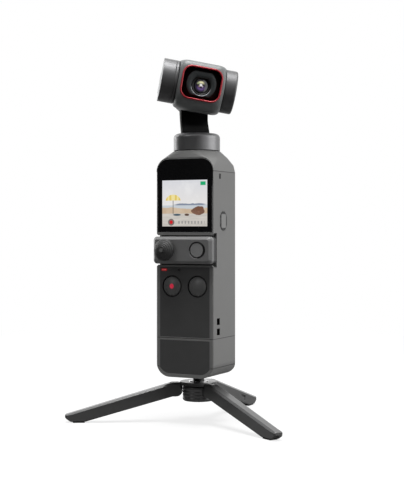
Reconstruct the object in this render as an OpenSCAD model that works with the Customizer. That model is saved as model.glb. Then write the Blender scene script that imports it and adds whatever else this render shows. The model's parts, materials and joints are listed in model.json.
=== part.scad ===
// Pocket gimbal camera with a slide-on control stick, standing on a folding mini tripod.
// The front, with the screen, faces -Y. The origin is on the ground, below the pan axis.

/* [Handle] */
// Width of the handle
handle_w = 25; // [22:0.5:30]
// Depth of the handle, front to back
handle_d = 21.2; // [20.5:0.1:24]
// Radius of the upright edges beside the screen
front_edge_r = 0.5; // [0.3:0.1:1]
// Radius of the upright edges at the back
rear_edge_r = 1.8; // [1:0.1:3]
// Wall of the housing
wall = 1.6; // [1.2:0.1:2]
// Height from the base seam up to the accessory slot
lower_h = 28.5; // [26:0.5:34]
// Height from the accessory slot up to the shoulder seam
upper_h = 24.9; // [24:0.1:30]
// Height of the moulded shoulder above its seam
shoulder_h = 8.3; // [7.5:0.1:10]
// Radius of the round neck under the gimbal
neck_r = 9.3; // [8.6:0.1:10]

/* [Screen] */
// Height of the plain band between the slot and the glass
band_h = 1.25; // [1:0.05:2]
// Height of the front glass
glass_h = 28.45; // [28:0.05:29]
// Bezel of bare housing on each side of the glass
glass_margin = 0.25; // [0.2:0.05:0.6]
// Thickness of the front glass
glass_t = 0.9; // [0.6:0.1:1.2]
// Radius of the glass's top corners
glass_corner_r = 4.9; // [4:0.1:5.5]
// Width of the lit screen
screen_w = 19.7; // [17:0.1:21]
// Height of the lit screen
screen_h = 18; // [16:0.1:19]
// Height from the glass's lower edge to the screen
screen_rise = 2.25; // [1.5:0.05:4]

/* [Front controls] */
// Bezel of bare housing round the fascia panels
fascia_margin = 0.9; // [0.7:0.1:1.5]
// Thickness of the fascia panels
fascia_t = 1; // [0.8:0.1:1.4]
// Radius of the hole round each front button
button_hole_r = 4.05; // [3.9:0.05:4.4]
// Gap round a button's cap
button_gap = 0.3; // [0.2:0.05:0.4]
// Distance between the two front buttons
button_pitch = 11.1; // [10:0.1:12]
// Height from the slot down to the front buttons
button_drop = 8.3; // [8:0.1:12]
// Travel of each push button
button_travel = 0.35; // [0.2:0.05:0.4]

/* [Side features] */
// Power button, front to back
power_w = 6.2; // [5.8:0.1:6.8]
// Power button, height
power_h = 7.6; // [7.2:0.1:8.5]
// Distance of the power button ahead of the middle of the side
power_forward = 1.7; // [1.2:0.1:2]
// Height of the power button above the slot
power_rise = 5.6; // [5.2:0.1:8]
// Size of each opening of the strap eyelet
eyelet = 2.6; // [2.2:0.1:3]
// Width of the bar between the eyelet's openings
eyelet_bar = 1.4; // [1:0.1:2]
// Height of the eyelet's bar above the base seam
eyelet_rise = 4.6; // [4.4:0.1:8]

/* [Base] */
// Height of the clip-on base
base_h = 15.4; // [15:0.1:18]
// Radius of the base's bottom corners, seen from the front
base_corner_r = 5.8; // [5:0.1:7]
// Height of the base's bottom cap
base_cap_h = 4.1; // [3.6:0.1:5]

/* [Accessory slot] */
// Height of the slot across the front
slot_h = 11.6; // [11:0.1:13]
// Depth of the slot
slot_d = 2.9; // [2.7:0.1:3.2]
// Undercut of the slot, above and below
slot_undercut = 0.8; // [0.6:0.1:1]
// Thickness of the undercut, measured from the slot's floor
slot_rail_t = 1.6; // [1.4:0.1:1.8]

/* [Control stick] */
// Length of the control stick unit
stick_w = 25.5; // [25:0.1:28]
// Distance that its middle sits right of the handle's middle
stick_shift = 0.25; // [0:0.05:0.5]
// Distance that it stands proud of the handle
stick_proud = 3.3; // [3.1:0.1:4]
// Gap above and below it in the slot
stick_gap = 0.5; // [0.4:0.05:0.7]
// Distance of the joystick left of the unit's middle
joy_left = 6.6; // [6:0.1:7]
// Radius of the joystick's cap
joy_r = 4.3; // [3.6:0.1:4.6]
// Distance of the unit's round button right of its middle
stick_button_right = 6.5; // [6:0.1:7.5]
// Radius of the hole round that button
stick_button_hole_r = 3.2; // [3:0.05:3.3]

/* [Gimbal] */
// Radius of the collar that turns on the neck
collar_r = 9.2; // [9:0.1:10]
// Height of the collar
collar_h = 6.8; // [6.4:0.1:8]
// Rounding of the collar's top edge
collar_round = 1.8; // [1.2:0.1:2]
// Height of the head's middle above the collar
head_rise = 18.3; // [18:0.1:20]
// Distance of the tilt axis in front of the pan axis
head_forward = 5; // [4:0.1:6]
// Width of the arm that carries the roll motor
arm_w = 10.9; // [9:0.1:12]
// Pan angle in the pose that is shown
pan_angle = 32; // [0:1:60]
// Roll angle in the pose that is shown
roll_angle = 10; // [0:1:20]

/* [Camera head] */
// Width of the camera block between its round ends
block_w = 19.4; // [19:0.1:20]
// Radius of the round ends
drum_r = 8.5; // [8.3:0.1:9]
// Width of the tilt motor's drum
drum_w = 4.9; // [4.8:0.1:5.4]
// Width of the cap at the other end
cap_w = 4.8; // [4:0.1:5.4]
// Distance of the head's front face from the tilt axis
face_forward = 9.5; // [9.3:0.1:10]
// Distance of the roll motor's back from the tilt axis
motor_back = 28.6; // [28:0.1:31]
// Radius of the roll motor
motor_r = 8.8; // [8.5:0.1:9]
// Width of the coloured ring round the lens
ring_w = 16.3; // [15.5:0.1:16.6]
// Height of the coloured ring
ring_h = 13.7; // [13:0.1:14]
// Wall of the coloured ring
ring_t = 0.8; // [0.6:0.1:1]
// Radius of the lens barrel
barrel_r = 4.6; // [4.4:0.1:4.8]

/* [Tripod] */
// Height of the hub's top plate above the ground
hub_z = 16; // [15:0.1:18]
// Radius of the hub's top plate
hub_r = 7.3; // [7:0.1:8]
// Distance of the tripod's axis behind the pan axis
tripod_back = 1.5; // [1:0.1:2]
// Gap between the hub's plate and the base
stud_gap = 2.6; // [2:0.1:4]
// Distance of each foot's middle from the tripod's axis
foot_reach = 47.5; // [44:0.5:60]
// Width of a leg
leg_w = 4.8; // [4.4:0.1:5.4]
// Depth of a leg near its tip
leg_tip_h = 4.2; // [3.8:0.1:4.6]
// Radius of the thumbwheel
wheel_r = 6; // [5.6:0.1:6.1]
// Radius of the camera screw's thread
stud_r = 3.15; // [3:0.05:3.2]

/* [Hidden] */
$fn = 64;
// Overrun of every cut past the face that it opens
over = 0.4;
// Gap between moving neighbours, and of a shaft in its bearing
air = 0.3;
running = 0.05;
// Thickness of the slices that a hull joins
slice = 0.1;

// Running gap under the collar, and the thick wall behind the handle's front
collar_gap = 0.2;
front_wall = 6;

// Heights of the stack, from the ground up
base_z = hub_z + stud_gap;
seam_z = base_z + base_h;
slot_z = seam_z + lower_h;
slot_top = slot_z + slot_h;
slot_mid = slot_z + slot_h / 2;
glass_z = slot_top + band_h;
shoulder_z = slot_top + upper_h;
neck_z = shoulder_z + shoulder_h;
collar_z = neck_z + collar_gap;
collar_top = collar_z + collar_h;
head_z = collar_top + head_rise;
front_y = -handle_d / 2;
side_x = handle_w / 2;

// The room inside the handle, behind its thick front wall
room_y = front_y + front_wall;
room_x = side_x - wall;
room_back = handle_d / 2 - wall;
floor_t = 1.2;
board_t = 1;
board_gap = 0.15;
battery_gap = 0.2;
battery_side = 1.3;
card_slot_l = 12;
card_slot_t = 1.6;
card_rise = 18;

// The parts of a push button and its switch
cap_t = 1.6;
cap_proud = 0.3;
guide_r = 1.5;
switch_w = 4;
switch_pocket_r = 3;
switch_gap = 0.15;
dome_h = 0.25;

// Connectors between the base and the handle
plug_w = 8.3;
plug_t = 2.4;
plug_h = 7;
plug_play = 0.1;
socket_wall = 0.5;
port_back = 4.1;
port_y = front_y + port_back;

// Thread insert and screw
insert_r = 4.4;
insert_h = 9;
stud_h = 7.6;
stud_neck_r = 2.2;
stud_neck_h = 1.3;

// Pan motor
seat_r = 3.2;
seat_deep = 5;
post_r = 2.6;
bearing_r = 2.1;
shaft_r = 1.5;
bearing_h = 1.6;
magnet_t = 1.3;
collar_wall = 1;
collar_roof = 1.7;
stator_slots = 9;
stator_slot_share = 0.34;

// Gimbal arm, in the pan frame: y runs back from the pan axis
arm_front_y = 4.2;
arm_back_y = 10.4;
arm_rise_y = 10.6;
arm_saddle_y = 20.6;
arm_bend_h = 7;
arm_foot_drop = 3.2;
arm_steps = 12;
arm_cover_t = 0.9;
arm_cover_inset = 1;

// Roll and tilt motors, in the head frame: y runs back from the tilt axis
plate_y = 12.3;
plate_t = 2;
plate_r = 7.4;
bracket_h = 8;
bracket_wall = 2.3;
bracket_round = 3;
motor_y = plate_y + plate_t + 0.5;
motor_cap_t = 1.4;
rotor_boss_r = 5;
rotor_t = 1.9;
roll_magnet_l = 6;
tilt_gap = air;
drum_x = -block_w / 2 - tilt_gap - drum_w;
drum_wall = 1;
tilt_cap_t = 0.7;
tilt_floor_t = 0.6;
tilt_shaft_r = 1.2;
tilt_bearing_r = 1.7;
tilt_post_r = 2.2;
tilt_rotor_t = 0.9;

// Camera block
block_top = 8.8;
belly = 10.8;
block_back = 9.6;
top_r = 2.2;
chin_r = 2.6;
chin_z = 8;
back_top_r = 6;
belly_r = 9.2;
flat_share = 0.66;
shell_split = 2;
ring_deep = 1.9;
ring_proud = 0.3;
ring_r = 3.5;
hood_r = 6.1;
hood_cut = 5.3;
hood_t = 1.4;
iris_r = 3.95;
iris_flat = 3.1;
glass_r = 3.6;
glass_crown = 0.9;
glass_sink = 0.3;
barrel_l = 6.7;
sensor_w = 12;
sensor_h = 10;
sensor_t = 0.8;
chip_w = 8;
chip_h = 6.4;
chip_t = 0.6;

// Control stick
stick_h = slot_h - 2 * stick_gap;
stick_front = front_y - stick_proud;
stick_wall = 1.2;
stick_skin = 0.8;
stick_corner_r = 1.5;
stick_chamfer = 1.1;
rail_play = 0.2;
rail_back = front_y + slot_d - rail_play;
rail_front = rail_back - slot_rail_t + 2 * rail_play;
joy_x = stick_shift - joy_left;
joy_z = slot_mid + 0.1;
joy_y = rail_front - 2.1;
joy_hole_r = 3.6;
joy_lift = 4.2;
joy_cone_h = 2.4;
joy_nub_r = 0.9;
joy_nub_h = 0.5;
joy_stem_r = 0.9;
yoke_r = 2.9;
yoke_bore = 1.9;
yoke_t = 1;
pivot_r = 0.5;
lug_w = 1;
lug_gap = 0.35;

// Tripod legs: r runs out from the tripod's axis
hub_t = 1.4;
pin_reach = 8.9;
pin_drop = 3.4;
pin_r = 0.8;
knuckle_r = 2.45;
tongue_w = 1.7;
tongue_r = 1.9;
fork_play = 0.1;
leg_flat = 2.7;
leg_tip = 4.4;
tip_bevel = 1.2;
pad_l = 4.6;
pad_w = 3.4;
pad_h = 2;
pad_flare = 0.4;
wheel_h = 5.8;
wheel_gap = 0.4;
wheel_rim_h = 1.1;
wheel_teeth = 30;
tooth_d = 0.35;
hook_l = 2.6;
hook_t = 0.7;
hook_deep = 0.8;

// Frames

module head_frame() {
  rotate([0, 0, pan_angle]) translate([0, -head_forward, head_z]) children();
}

module roll_frame() {
  head_frame() rotate([0, roll_angle, 0]) children();
}

module tripod_frame(turn = 0) {
  translate([0, tripod_back, 0]) rotate([0, 0, turn]) children();
}

// Turns a piece drawn along +Z so that it runs along +X, +Y or -Y

module along_x() {
  rotate([0, 90, 0]) children();
}

module along_y() {
  rotate([-90, 0, 0]) children();
}

// Draws an outline given in x and z, from the plane y upwards in y
module slab_y(y, t) {
  translate([0, y + t, 0]) rotate([90, 0, 0]) linear_extrude(t) children();
}

// Draws an outline given in y and z, from the plane x upwards in x
module slab_x(x, t) {
  translate([x, 0, 0]) rotate([90, 0, 90]) linear_extrude(t) children();
}

// Shared outlines

module rounded(w, h, r) {
  square([w, h - 2 * r], center = true);
  square([w - 2 * r, h], center = true);
  for (x = [-1, 1], y = [-1, 1]) translate([x * (w / 2 - r), y * (h / 2 - r)]) circle(r);
}

module handle_plan(inset = 0) {
  w = handle_w - 2 * inset;
  d = handle_d - 2 * inset;
  intersection() {
    union() {
      translate([0, -d]) square([w, 2 * d], center = true);
      rounded(w, d, rear_edge_r);
    }
    union() {
      translate([0, d]) square([w, 2 * d], center = true);
      rounded(w, d, front_edge_r);
    }
  }
}

module ring(r_out, r_in, h) {
  linear_extrude(h) difference() {
    circle(r_out);
    circle(r_in);
  }
}

module stator(r_out, r_in, h) {
  yoke = r_in + (r_out - r_in) * stator_slot_share;
  slot_w = r_out * stator_slot_share;
  linear_extrude(h) difference() {
    circle(r_out);
    circle(r_in);
    for (i = [0 : stator_slots - 1]) rotate(i * 360 / stator_slots) translate([yoke, -slot_w / 2])
      square([r_out, slot_w]);
  }
}

module stadium(w, t) {
  square([w - t, t], center = true);
  for (x = [-1, 1]) translate([x * (w - t) / 2, 0]) circle(t / 2);
}

// Handle

module glass_outline(grow = 0) {
  w = handle_w - 2 * glass_margin + 2 * grow;
  intersection() {
    translate([0, glass_h / 2]) union() {
      rounded(w, glass_h + 2 * grow, glass_corner_r + grow);
      translate([0, -glass_h / 4]) square([w, glass_h / 2 + 2 * grow], center = true);
    }
    translate([-w / 2, -grow]) square([w, glass_h + 2 * grow]);
  }
}

module glass_space(t) {
  translate([0, 0, glass_z]) slab_y(front_y - over, t + over) glass_outline();
}

module fascia_outline(z0, z1) {
  w = handle_w - 2 * fascia_margin;
  translate([0, (z0 + z1) / 2]) square([w, z1 - z0], center = true);
}

module slot_space() {
  open_l = handle_w + 2 * over;
  translate([0, front_y - over, slot_mid]) rotate([90, 0, 90]) linear_extrude(open_l, center = true) {
    translate([0, -slot_h / 2]) square([slot_d + over, slot_h]);
    translate([slot_d + over - slot_rail_t, -slot_h / 2 - slot_undercut])
      square([slot_rail_t, slot_h + 2 * slot_undercut]);
  }
  flare = slot_undercut;
  for (x = [-1, 1]) slab_y(front_y - over, slot_d + over) polygon([
    [x * (side_x - flare), slot_z], [x * (side_x + over), slot_z - flare - over],
    [x * (side_x + over), slot_top + flare + over], [x * (side_x - flare), slot_top]
  ]);
}

button_z = slot_z - button_drop;
cap_r = button_hole_r - button_gap;
well_d = cap_t - cap_proud + button_travel + air;
switch_face_y = room_y - dome_h - switch_gap;

module button_holes() {
  for (x = [-1, 1]) translate([x * button_pitch / 2, 0, button_z]) {
    translate([0, front_y - over, 0]) along_y() cylinder(h = well_d + over, r = button_hole_r);
    translate([0, front_y, 0]) along_y() cylinder(h = room_y - front_y + over, r = guide_r + running);
    translate([0, switch_face_y - 2 * button_travel, 0]) along_y()
      cylinder(h = room_y - switch_face_y + 3 * button_travel, r = switch_pocket_r);
  }
}

power_z = slot_top + power_rise;
power_y = -power_forward;
power_r = 3;
power_pocket = 1.15;
power_guide_r = 1;

module power_space() {
  translate([0, power_y, power_z]) {
    slab_x(side_x - power_pocket, power_pocket + over) rounded(power_w, power_h, power_r);
    translate([side_x - wall - over, 0, 0]) along_x() cylinder(h = wall, r = power_guide_r + running);
  }
}

eyelet_back = 4.4;
eyelet_y = front_y + eyelet_back;
eyelet_z = seam_z + eyelet_rise;
eyelet_deep = 2.2;
eyelet_skin = 1;

module eyelet_space() {
  step = (eyelet + eyelet_bar) / 2;
  translate([side_x, eyelet_y, eyelet_z]) {
    for (z = [-step, step]) slab_x(-eyelet_deep, eyelet_deep + over)
      translate([0, z]) square(eyelet, center = true);
    slab_x(-eyelet_deep, eyelet_deep - eyelet_skin) square([eyelet, 2 * step + eyelet], center = true);
  }
}

module card_space() {
  translate([0, -power_forward, seam_z + card_rise]) slab_x(-side_x - over, wall + 2 * over)
    square([card_slot_t, card_slot_l], center = true);
}

mic_w = 0.5;
mic_h = 1.9;
mic_forward = 4.8;
front_mic_r = 0.4;
front_mic_x = -2.46;
light_w = 2.6;
light_h = 1;
light_x = -9;
light_drop = 1.9;

module mic_holes() {
  for (x = [-1, 1]) translate([x * side_x, -mic_forward, shoulder_z - mic_h]) cube([wall, mic_w, mic_h], center = true);
  translate([front_mic_x, front_y - over, slot_z - light_drop]) along_y() cylinder(h = 2 * fascia_t, r = front_mic_r);
}

module light_space(t) {
  translate([light_x, 0, slot_z - light_drop]) slab_y(front_y, t) stadium(light_w, light_h);
}

module room() {
  translate([-room_x, room_y, seam_z + floor_t]) cube([2 * room_x, room_back - room_y, shoulder_z - seam_z]);
}

module screen_space(t) {
  translate([0, 0, glass_z + screen_rise + screen_h / 2]) slab_y(front_y + glass_t, t)
    square([screen_w, screen_h], center = true);
}

display_t = 1.2;
lower_gap = 0.4;

module fascia_space(t) {
  slab_y(front_y - over, t + over) fascia_outline(seam_z + lower_gap, slot_z - lower_gap * 2);
}

module plug_space(play) {
  translate([0, port_y, seam_z - over]) linear_extrude(plug_h + over) stadium(plug_w + 2 * play, plug_t + 2 * play);
}

contact_w = 1;
contact_h = 4;
contact_t = 0.3;
contact_count = 6;
contact_pitch = 1.8;

module contacts(t) {
  for (i = [0 : contact_count - 1])
    translate([(i - (contact_count - 1) / 2) * contact_pitch, front_y + slot_d + t / 2, slot_mid])
      cube([contact_w, t, contact_h], center = true);
}

module main_housing() {
  color("dimgray") difference() {
    translate([0, 0, seam_z]) linear_extrude(shoulder_z - seam_z) handle_plan();
    room();
    slot_space();
    glass_space(glass_t);
    screen_space(display_t);
    fascia_space(fascia_t);
    button_holes();
    power_space();
    eyelet_space();
    card_space();
    mic_holes();
    light_space(fascia_t + contact_t);
    contacts(contact_t);
    plug_space(plug_play + socket_wall);
  }
}

arch_r = 5.8;
arch_rise = 5.6;
arch_t = 1.2;
shoulder_low_share = 0.33;
shoulder_high_share = 0.67;
shoulder_low_inset = 0.25;
shoulder_high_inset = 1.25;

module shoulder_slice(share, inset, r) {
  w = handle_w - 2 * inset;
  d = handle_d - 2 * inset;
  translate([0, 0, shoulder_z + shoulder_h * share]) linear_extrude(slice) rounded(w, d, r);
}

module shoulder_form() {
  hull($fn = 32) {
    translate([0, 0, shoulder_z]) linear_extrude(slice) handle_plan();
    slab_y(front_y, arch_t) translate([0, shoulder_z + arch_rise / 2]) intersection() {
      translate([0, -arch_rise / 2]) rounded(handle_w, 2 * arch_rise, arch_r - 3 * slice);
      square([handle_w, arch_rise], center = true);
    }
    shoulder_slice(shoulder_low_share, shoulder_low_inset, rear_edge_r * 1.5);
    shoulder_slice(shoulder_high_share, shoulder_high_inset, arch_r);
    translate([0, 0, neck_z - slice]) linear_extrude(slice) circle(neck_r);
  }
}

module top_shoulder() {
  color("dimgray") difference() {
    shoulder_form();
    glass_space(glass_t);
    translate([0, 0, neck_z - seat_deep]) cylinder(h = seat_deep + over, r = seat_r);
  }
}

module screen_glass() {
  color("black") intersection() {
    glass_space(glass_t);
    union() {
      translate([0, 0, glass_z]) linear_extrude(shoulder_z - glass_z) handle_plan();
      slab_y(front_y, glass_t) translate([0, shoulder_z + glass_h / 2]) square([handle_w, glass_h], center = true);
    }
  }
}

module display_panel() {
  color("lightsteelblue") screen_space(display_t);
}

module fascia_panel() {
  color("darkslategray") difference() {
    intersection() {
      fascia_space(fascia_t);
      slab_y(front_y, fascia_t) translate([0, slot_z]) square([handle_w, 2 * lower_h], center = true);
    }
    button_holes();
    light_space(fascia_t);
    mic_holes();
  }
}

module status_light() {
  color("red") light_space(fascia_t + contact_t);
}

module main_board() {
  l = shoulder_z - seam_z - floor_t - board_gap;
  color("green") difference() {
    translate([-room_x + board_gap, room_y, seam_z + floor_t]) cube([2 * (room_x - board_gap), board_t, l]);
    plug_space(plug_play + socket_wall + board_gap);
  }
}

module battery() {
  gap = battery_gap;
  y0 = room_y + board_t + gap;
  color("silver") translate([0, (y0 + room_back - gap) / 2, seam_z + floor_t])
    linear_extrude(shoulder_z - seam_z - floor_t - gap)
      rounded(2 * (room_x - battery_side), room_back - gap - y0, (room_back - gap - y0) / 4);
}

power_switch_t = 0.9;

module switches() {
  color("gold") {
    for (x = [-1, 1]) translate([x * button_pitch / 2, 0, button_z]) {
      slab_y(room_y - dome_h, dome_h) square(switch_w - over, center = true);
    }
    translate([room_x - power_switch_t, room_y + board_t, power_z - switch_w / 4])
      cube([power_switch_t - switch_gap - button_travel, power_y + switch_w / 4 - room_y - board_t, switch_w / 2]);
  }
}

module usb_socket() {
  color("silver") difference() {
    translate([0, port_y, seam_z]) linear_extrude(plug_h)
      stadium(plug_w + 2 * (plug_play + socket_wall), plug_t + 2 * (plug_play + socket_wall));
    plug_space(plug_play);
  }
}

module slot_contacts() {
  color("gold") contacts(contact_t);
}

// Base

module base_form(z0, z1) {
  profile_h = 2 * base_h;
  intersection() {
    translate([0, 0, z0]) linear_extrude(z1 - z0) handle_plan();
    translate([0, 0, base_z + profile_h / 2]) slab_y(front_y, handle_d) rounded(handle_w, profile_h, base_corner_r);
  }
}

module base_panel_space(t) {
  h = base_h - fascia_margin - fascia_margin * 1.6;
  r = base_corner_r - fascia_margin;
  w = handle_w - 2 * fascia_margin;
  slab_y(front_y, t) translate([0, base_z + fascia_margin * 1.6 + h / 2]) {
    rounded(w, h, r);
    translate([0, h / 4]) square([w, h / 2], center = true);
  }
}

module insert_space(z) {
  tripod_frame() translate([0, 0, z]) cylinder(h = insert_h + base_z - z, r = insert_r);
}

module port_space(play) {
  translate([0, port_y, base_z - over]) linear_extrude(plug_h + over)
    stadium(plug_w + 2 * play, plug_t + 2 * play);
}

module base_housing() {
  color("dimgray") difference() {
    base_form(base_z + base_cap_h, seam_z);
    base_panel_space(fascia_t);
    insert_space(base_z - over);
    port_space(plug_play + socket_wall);
    translate([0, port_y, seam_z - floor_t]) linear_extrude(floor_t + over) stadium(plug_w, plug_t);
  }
}

module base_cap() {
  color("dimgray") difference() {
    base_form(base_z, base_z + base_cap_h);
    base_panel_space(fascia_t);
    insert_space(base_z - over);
    port_space(plug_play + socket_wall);
  }
}

module base_panel() {
  color("darkslategray") base_panel_space(fascia_t);
}

module base_connector() {
  tongue_t = 0.7;
  color("silver") {
    translate([0, port_y, seam_z - floor_t]) linear_extrude(plug_h + floor_t - plug_play) stadium(plug_w, plug_t);
    translate([0, port_y, base_z]) difference() {
      linear_extrude(plug_h) stadium(plug_w + 2 * (plug_play + socket_wall), plug_t + 2 * (plug_play + socket_wall));
      translate([0, 0, -over]) linear_extrude(plug_h) difference() {
        stadium(plug_w + 2 * plug_play, plug_t + 2 * plug_play);
        square([plug_w - plug_t, tongue_t], center = true);
      }
    }
  }
}

module thread_insert() {
  color("silver") tripod_frame() translate([0, 0, base_z]) ring(insert_r, stud_r + running, insert_h);
}

// Push buttons

module front_button(side) {
  dome = cap_proud;
  stem = switch_face_y - button_travel - front_y - cap_t + cap_proud;
  translate([side * button_pitch / 2, front_y - cap_proud, button_z]) along_y() {
    rotate_extrude() polygon(concat(
      [for (i = [0 : 8]) [cap_r * i / 8, dome * pow(i / 8, 2)]],
      [[cap_r, cap_t], [0, cap_t]]
    ));
    translate([0, 0, cap_t]) cylinder(h = stem, r = guide_r);
  }
}

module record_button() {
  color("dimgray") front_button(-1);
}

module function_button() {
  color("dimgray") front_button(1);
}

module power_button() {
  play = button_gap / 2;
  proud = 0.15;
  t = power_pocket - button_travel - over / 2 + proud;
  color("gray") {
    translate([0, power_y, power_z]) {
      slab_x(side_x + proud - t, t) rounded(power_w - 2 * play, power_h - 2 * play, power_r - play);
      translate([room_x, 0, 0]) along_x() cylinder(h = wall + proud - t, r = power_guide_r);
    }
  }
}

// Control stick

module stick_outline(inset) {
  translate([stick_shift, slot_mid]) rounded(stick_w - 2 * inset, stick_h - 2 * inset, stick_corner_r - inset / 2);
}

module stick_housing() {
  lip = rail_front - front_y;
  color("gray") difference() {
    hull() {
      slab_y(stick_front, slice) stick_outline(stick_chamfer);
      slab_y(stick_front + stick_chamfer, -stick_front - stick_chamfer + rail_front) stick_outline(0);
    }
    slab_y(stick_front + stick_wall, lip - stick_front + front_y + over) stick_outline(stick_skin);
    translate([joy_x, stick_front - over, joy_z]) along_y() cylinder(h = stick_wall + 2 * over, r = joy_hole_r);
    translate([stick_shift + stick_button_right, stick_front - over, joy_z]) along_y()
      cylinder(h = stick_wall + 2 * over, r = stick_button_hole_r);
  }
}

module stick_rail() {
  flange_h = slot_h + 2 * slot_undercut - 2 * air;
  post_r2 = 1.8;
  post_h = 0.8;
  color("dimgray") {
    slab_y(rail_front, rail_back - rail_front) translate([stick_shift, slot_mid])
      rounded(stick_w - 2 * stick_corner_r, flange_h, stick_corner_r / 2);
    for (z = [-1, 1]) translate([joy_x, 0, joy_z + z * (yoke_r + lug_gap + lug_w / 2)]) difference() {
      slab_y(joy_y - 2 * pivot_r, rail_front - joy_y + 2 * pivot_r) square([4 * pivot_r, lug_w], center = true);
      translate([0, joy_y, -lug_w]) cylinder(h = 2 * lug_w, r = pivot_r + running);
    }
    translate([stick_shift + stick_button_right, rail_front - post_h, joy_z]) along_y()
      cylinder(h = post_h, r = post_r2);
  }
}

stick_cap_r = stick_button_hole_r - 1.5 * button_gap;

module stick_button() {
  sunk = 0.25;
  flange_t = 0.6;
  stem_r = 1;
  cap_back = stick_front + stick_wall + rail_play;
  post_front = rail_front - 0.8;
  color("gray") translate([stick_shift + stick_button_right, 0, joy_z]) {
    translate([0, stick_front + sunk, 0]) along_y() cylinder(h = cap_back - stick_front - sunk, r = stick_cap_r);
    translate([0, cap_back, 0]) along_y() cylinder(h = flange_t, r = stick_button_hole_r + button_gap);
    translate([0, cap_back, 0]) along_y()
      cylinder(h = post_front - cap_back - button_travel - switch_gap, r = stem_r);
  }
}

module stick_yoke() {
  color("silver") translate([joy_x, joy_y, joy_z]) {
    difference() {
      rotate([90, 0, 0]) translate([0, 0, -yoke_t / 2]) ring(yoke_r, yoke_bore, yoke_t);
      translate([-2 * yoke_r, 0, 0]) along_x() cylinder(h = 4 * yoke_r, r = pivot_r * 0.7 + running);
    }
    for (z = [-1, 1]) translate([0, 0, z * (yoke_r + (lug_gap + lug_w) / 2 - pivot_r / 2)])
      cylinder(h = lug_gap + lug_w + pivot_r, r = pivot_r, center = true);
  }
}

module joystick() {
  ridge = 0.12;
  rings = 5;
  rim_t = 0.5;
  cone = joy_cone_h;
  color("black") translate([joy_x, joy_y, joy_z]) {
    rotate([90, 0, 0]) rotate_extrude() polygon(concat(
      [[0, -yoke_t / 2], [joy_stem_r, -yoke_t / 2], [joy_stem_r, joy_lift], [joy_r, joy_lift], [joy_r, joy_lift + rim_t]],
      [for (i = [1 : 2 * rings]) let (s = i / (2 * rings + 1)) [
        joy_r + (joy_nub_r - joy_r) * s,
        joy_lift + rim_t + (cone - rim_t) * sin(90 * s) + (i % 2 == 0 ? ridge : 0)
      ]],
      [[joy_nub_r, joy_lift + cone], [joy_nub_r, joy_lift + cone + joy_nub_h], [0, joy_lift + cone + joy_nub_h]]
    ));
    translate([-yoke_r, 0, 0]) along_x() cylinder(h = 2 * yoke_r, r = pivot_r * 0.7);
  }
}

// Pan motor, in the neck

stator_z = collar_z + 1;
roof_z = collar_top - collar_roof;
magnet_r = collar_r - collar_wall;
pan_stator_r = magnet_r - magnet_t - air;

module pan_seat() {
  color("silver") difference() {
    union() {
      translate([0, 0, neck_z - seat_deep]) cylinder(h = seat_deep, r = seat_r);
      translate([0, 0, neck_z]) cylinder(h = roof_z - 2 * air - neck_z, r = post_r);
    }
    translate([0, 0, neck_z - seat_deep + floor_t]) cylinder(h = collar_h + seat_deep, r = bearing_r);
  }
}

module pan_stator() {
  color("orange") translate([0, 0, stator_z]) stator(pan_stator_r, post_r, roof_z - 2 * air - stator_z);
}

module pan_bearings() {
  color("silver") for (z = [neck_z - seat_deep + floor_t + air, roof_z - 2 * air - bearing_h])
    translate([0, 0, z]) ring(bearing_r, shaft_r + running, bearing_h);
}

module collar_solid() {
  rotate_extrude() {
    square([collar_r, collar_h - collar_round]);
    square([collar_r - collar_round, collar_h]);
    translate([collar_r - collar_round, collar_h - collar_round]) intersection() {
      circle(collar_round);
      square(collar_round);
    }
  }
}

module pan_collar() {
  shaft_l = roof_z - neck_z + seat_deep - floor_t - 2 * air;
  color("gray") {
    difference() {
      translate([0, 0, collar_z]) collar_solid();
      translate([0, 0, collar_z - over]) cylinder(h = roof_z - collar_z + over, r = magnet_r);
    }
    translate([0, 0, roof_z - shaft_l]) cylinder(h = shaft_l + over, r = shaft_r);
  }
}

module pan_magnets() {
  color("black") translate([0, 0, stator_z]) ring(magnet_r, magnet_r - magnet_t, roof_z - stator_z);
}

// Gimbal arm, from the collar up to the roll motor

saddle_z = head_z - collar_top - motor_r * 0.6;

function sway(t) = (1 - cos(180 * t)) / 2;

function front_line(t) = [arm_front_y + (arm_rise_y - arm_front_y) * sway(t), arm_bend_h * t];

function back_line(t, inset) = [
  arm_back_y + (arm_saddle_y - arm_back_y) * sway(t) - inset,
  -arm_foot_drop + (saddle_z + arm_foot_drop) * t
];

module arm_profile() {
  polygon(concat(
    [[arm_front_y, -arm_foot_drop]],
    [for (i = [0 : arm_steps]) front_line(i / arm_steps)],
    [[arm_rise_y, saddle_z]],
    [for (i = [arm_steps : -1 : 0]) back_line(i / arm_steps, 0)]
  ));
}

module cover_profile(extra) {
  polygon(concat(
    [for (i = [1 : arm_steps - 1]) back_line(i / arm_steps, arm_cover_t)],
    [for (i = [arm_steps - 1 : -1 : 1]) back_line(i / arm_steps, -extra)]
  ));
}

module arm_slab(w) {
  rotate([0, 0, pan_angle]) translate([0, 0, collar_top]) slab_x(-w / 2, w) children();
}

module motor_axis() {
  head_frame() along_y() children();
}

module pan_arm() {
  color("black") difference() {
    arm_slab(arm_w) arm_profile();
    translate([0, 0, collar_z]) collar_solid();
    motor_axis() translate([0, 0, motor_y - over]) cylinder(h = motor_back, r = motor_r);
    arm_slab(arm_w - 2 * arm_cover_inset) cover_profile(over);
  }
}

module arm_cover() {
  color("black") difference() {
    arm_slab(arm_w - 2 * arm_cover_inset) cover_profile(0);
    motor_axis() translate([0, 0, motor_y - over]) cylinder(h = motor_back, r = motor_r);
  }
}

// Roll motor

motor_wall = 1;
motor_end = motor_back - motor_cap_t;
roll_magnet_r = motor_r - motor_wall - air;
rotor_y = plate_y + plate_t + 0.8;

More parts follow.
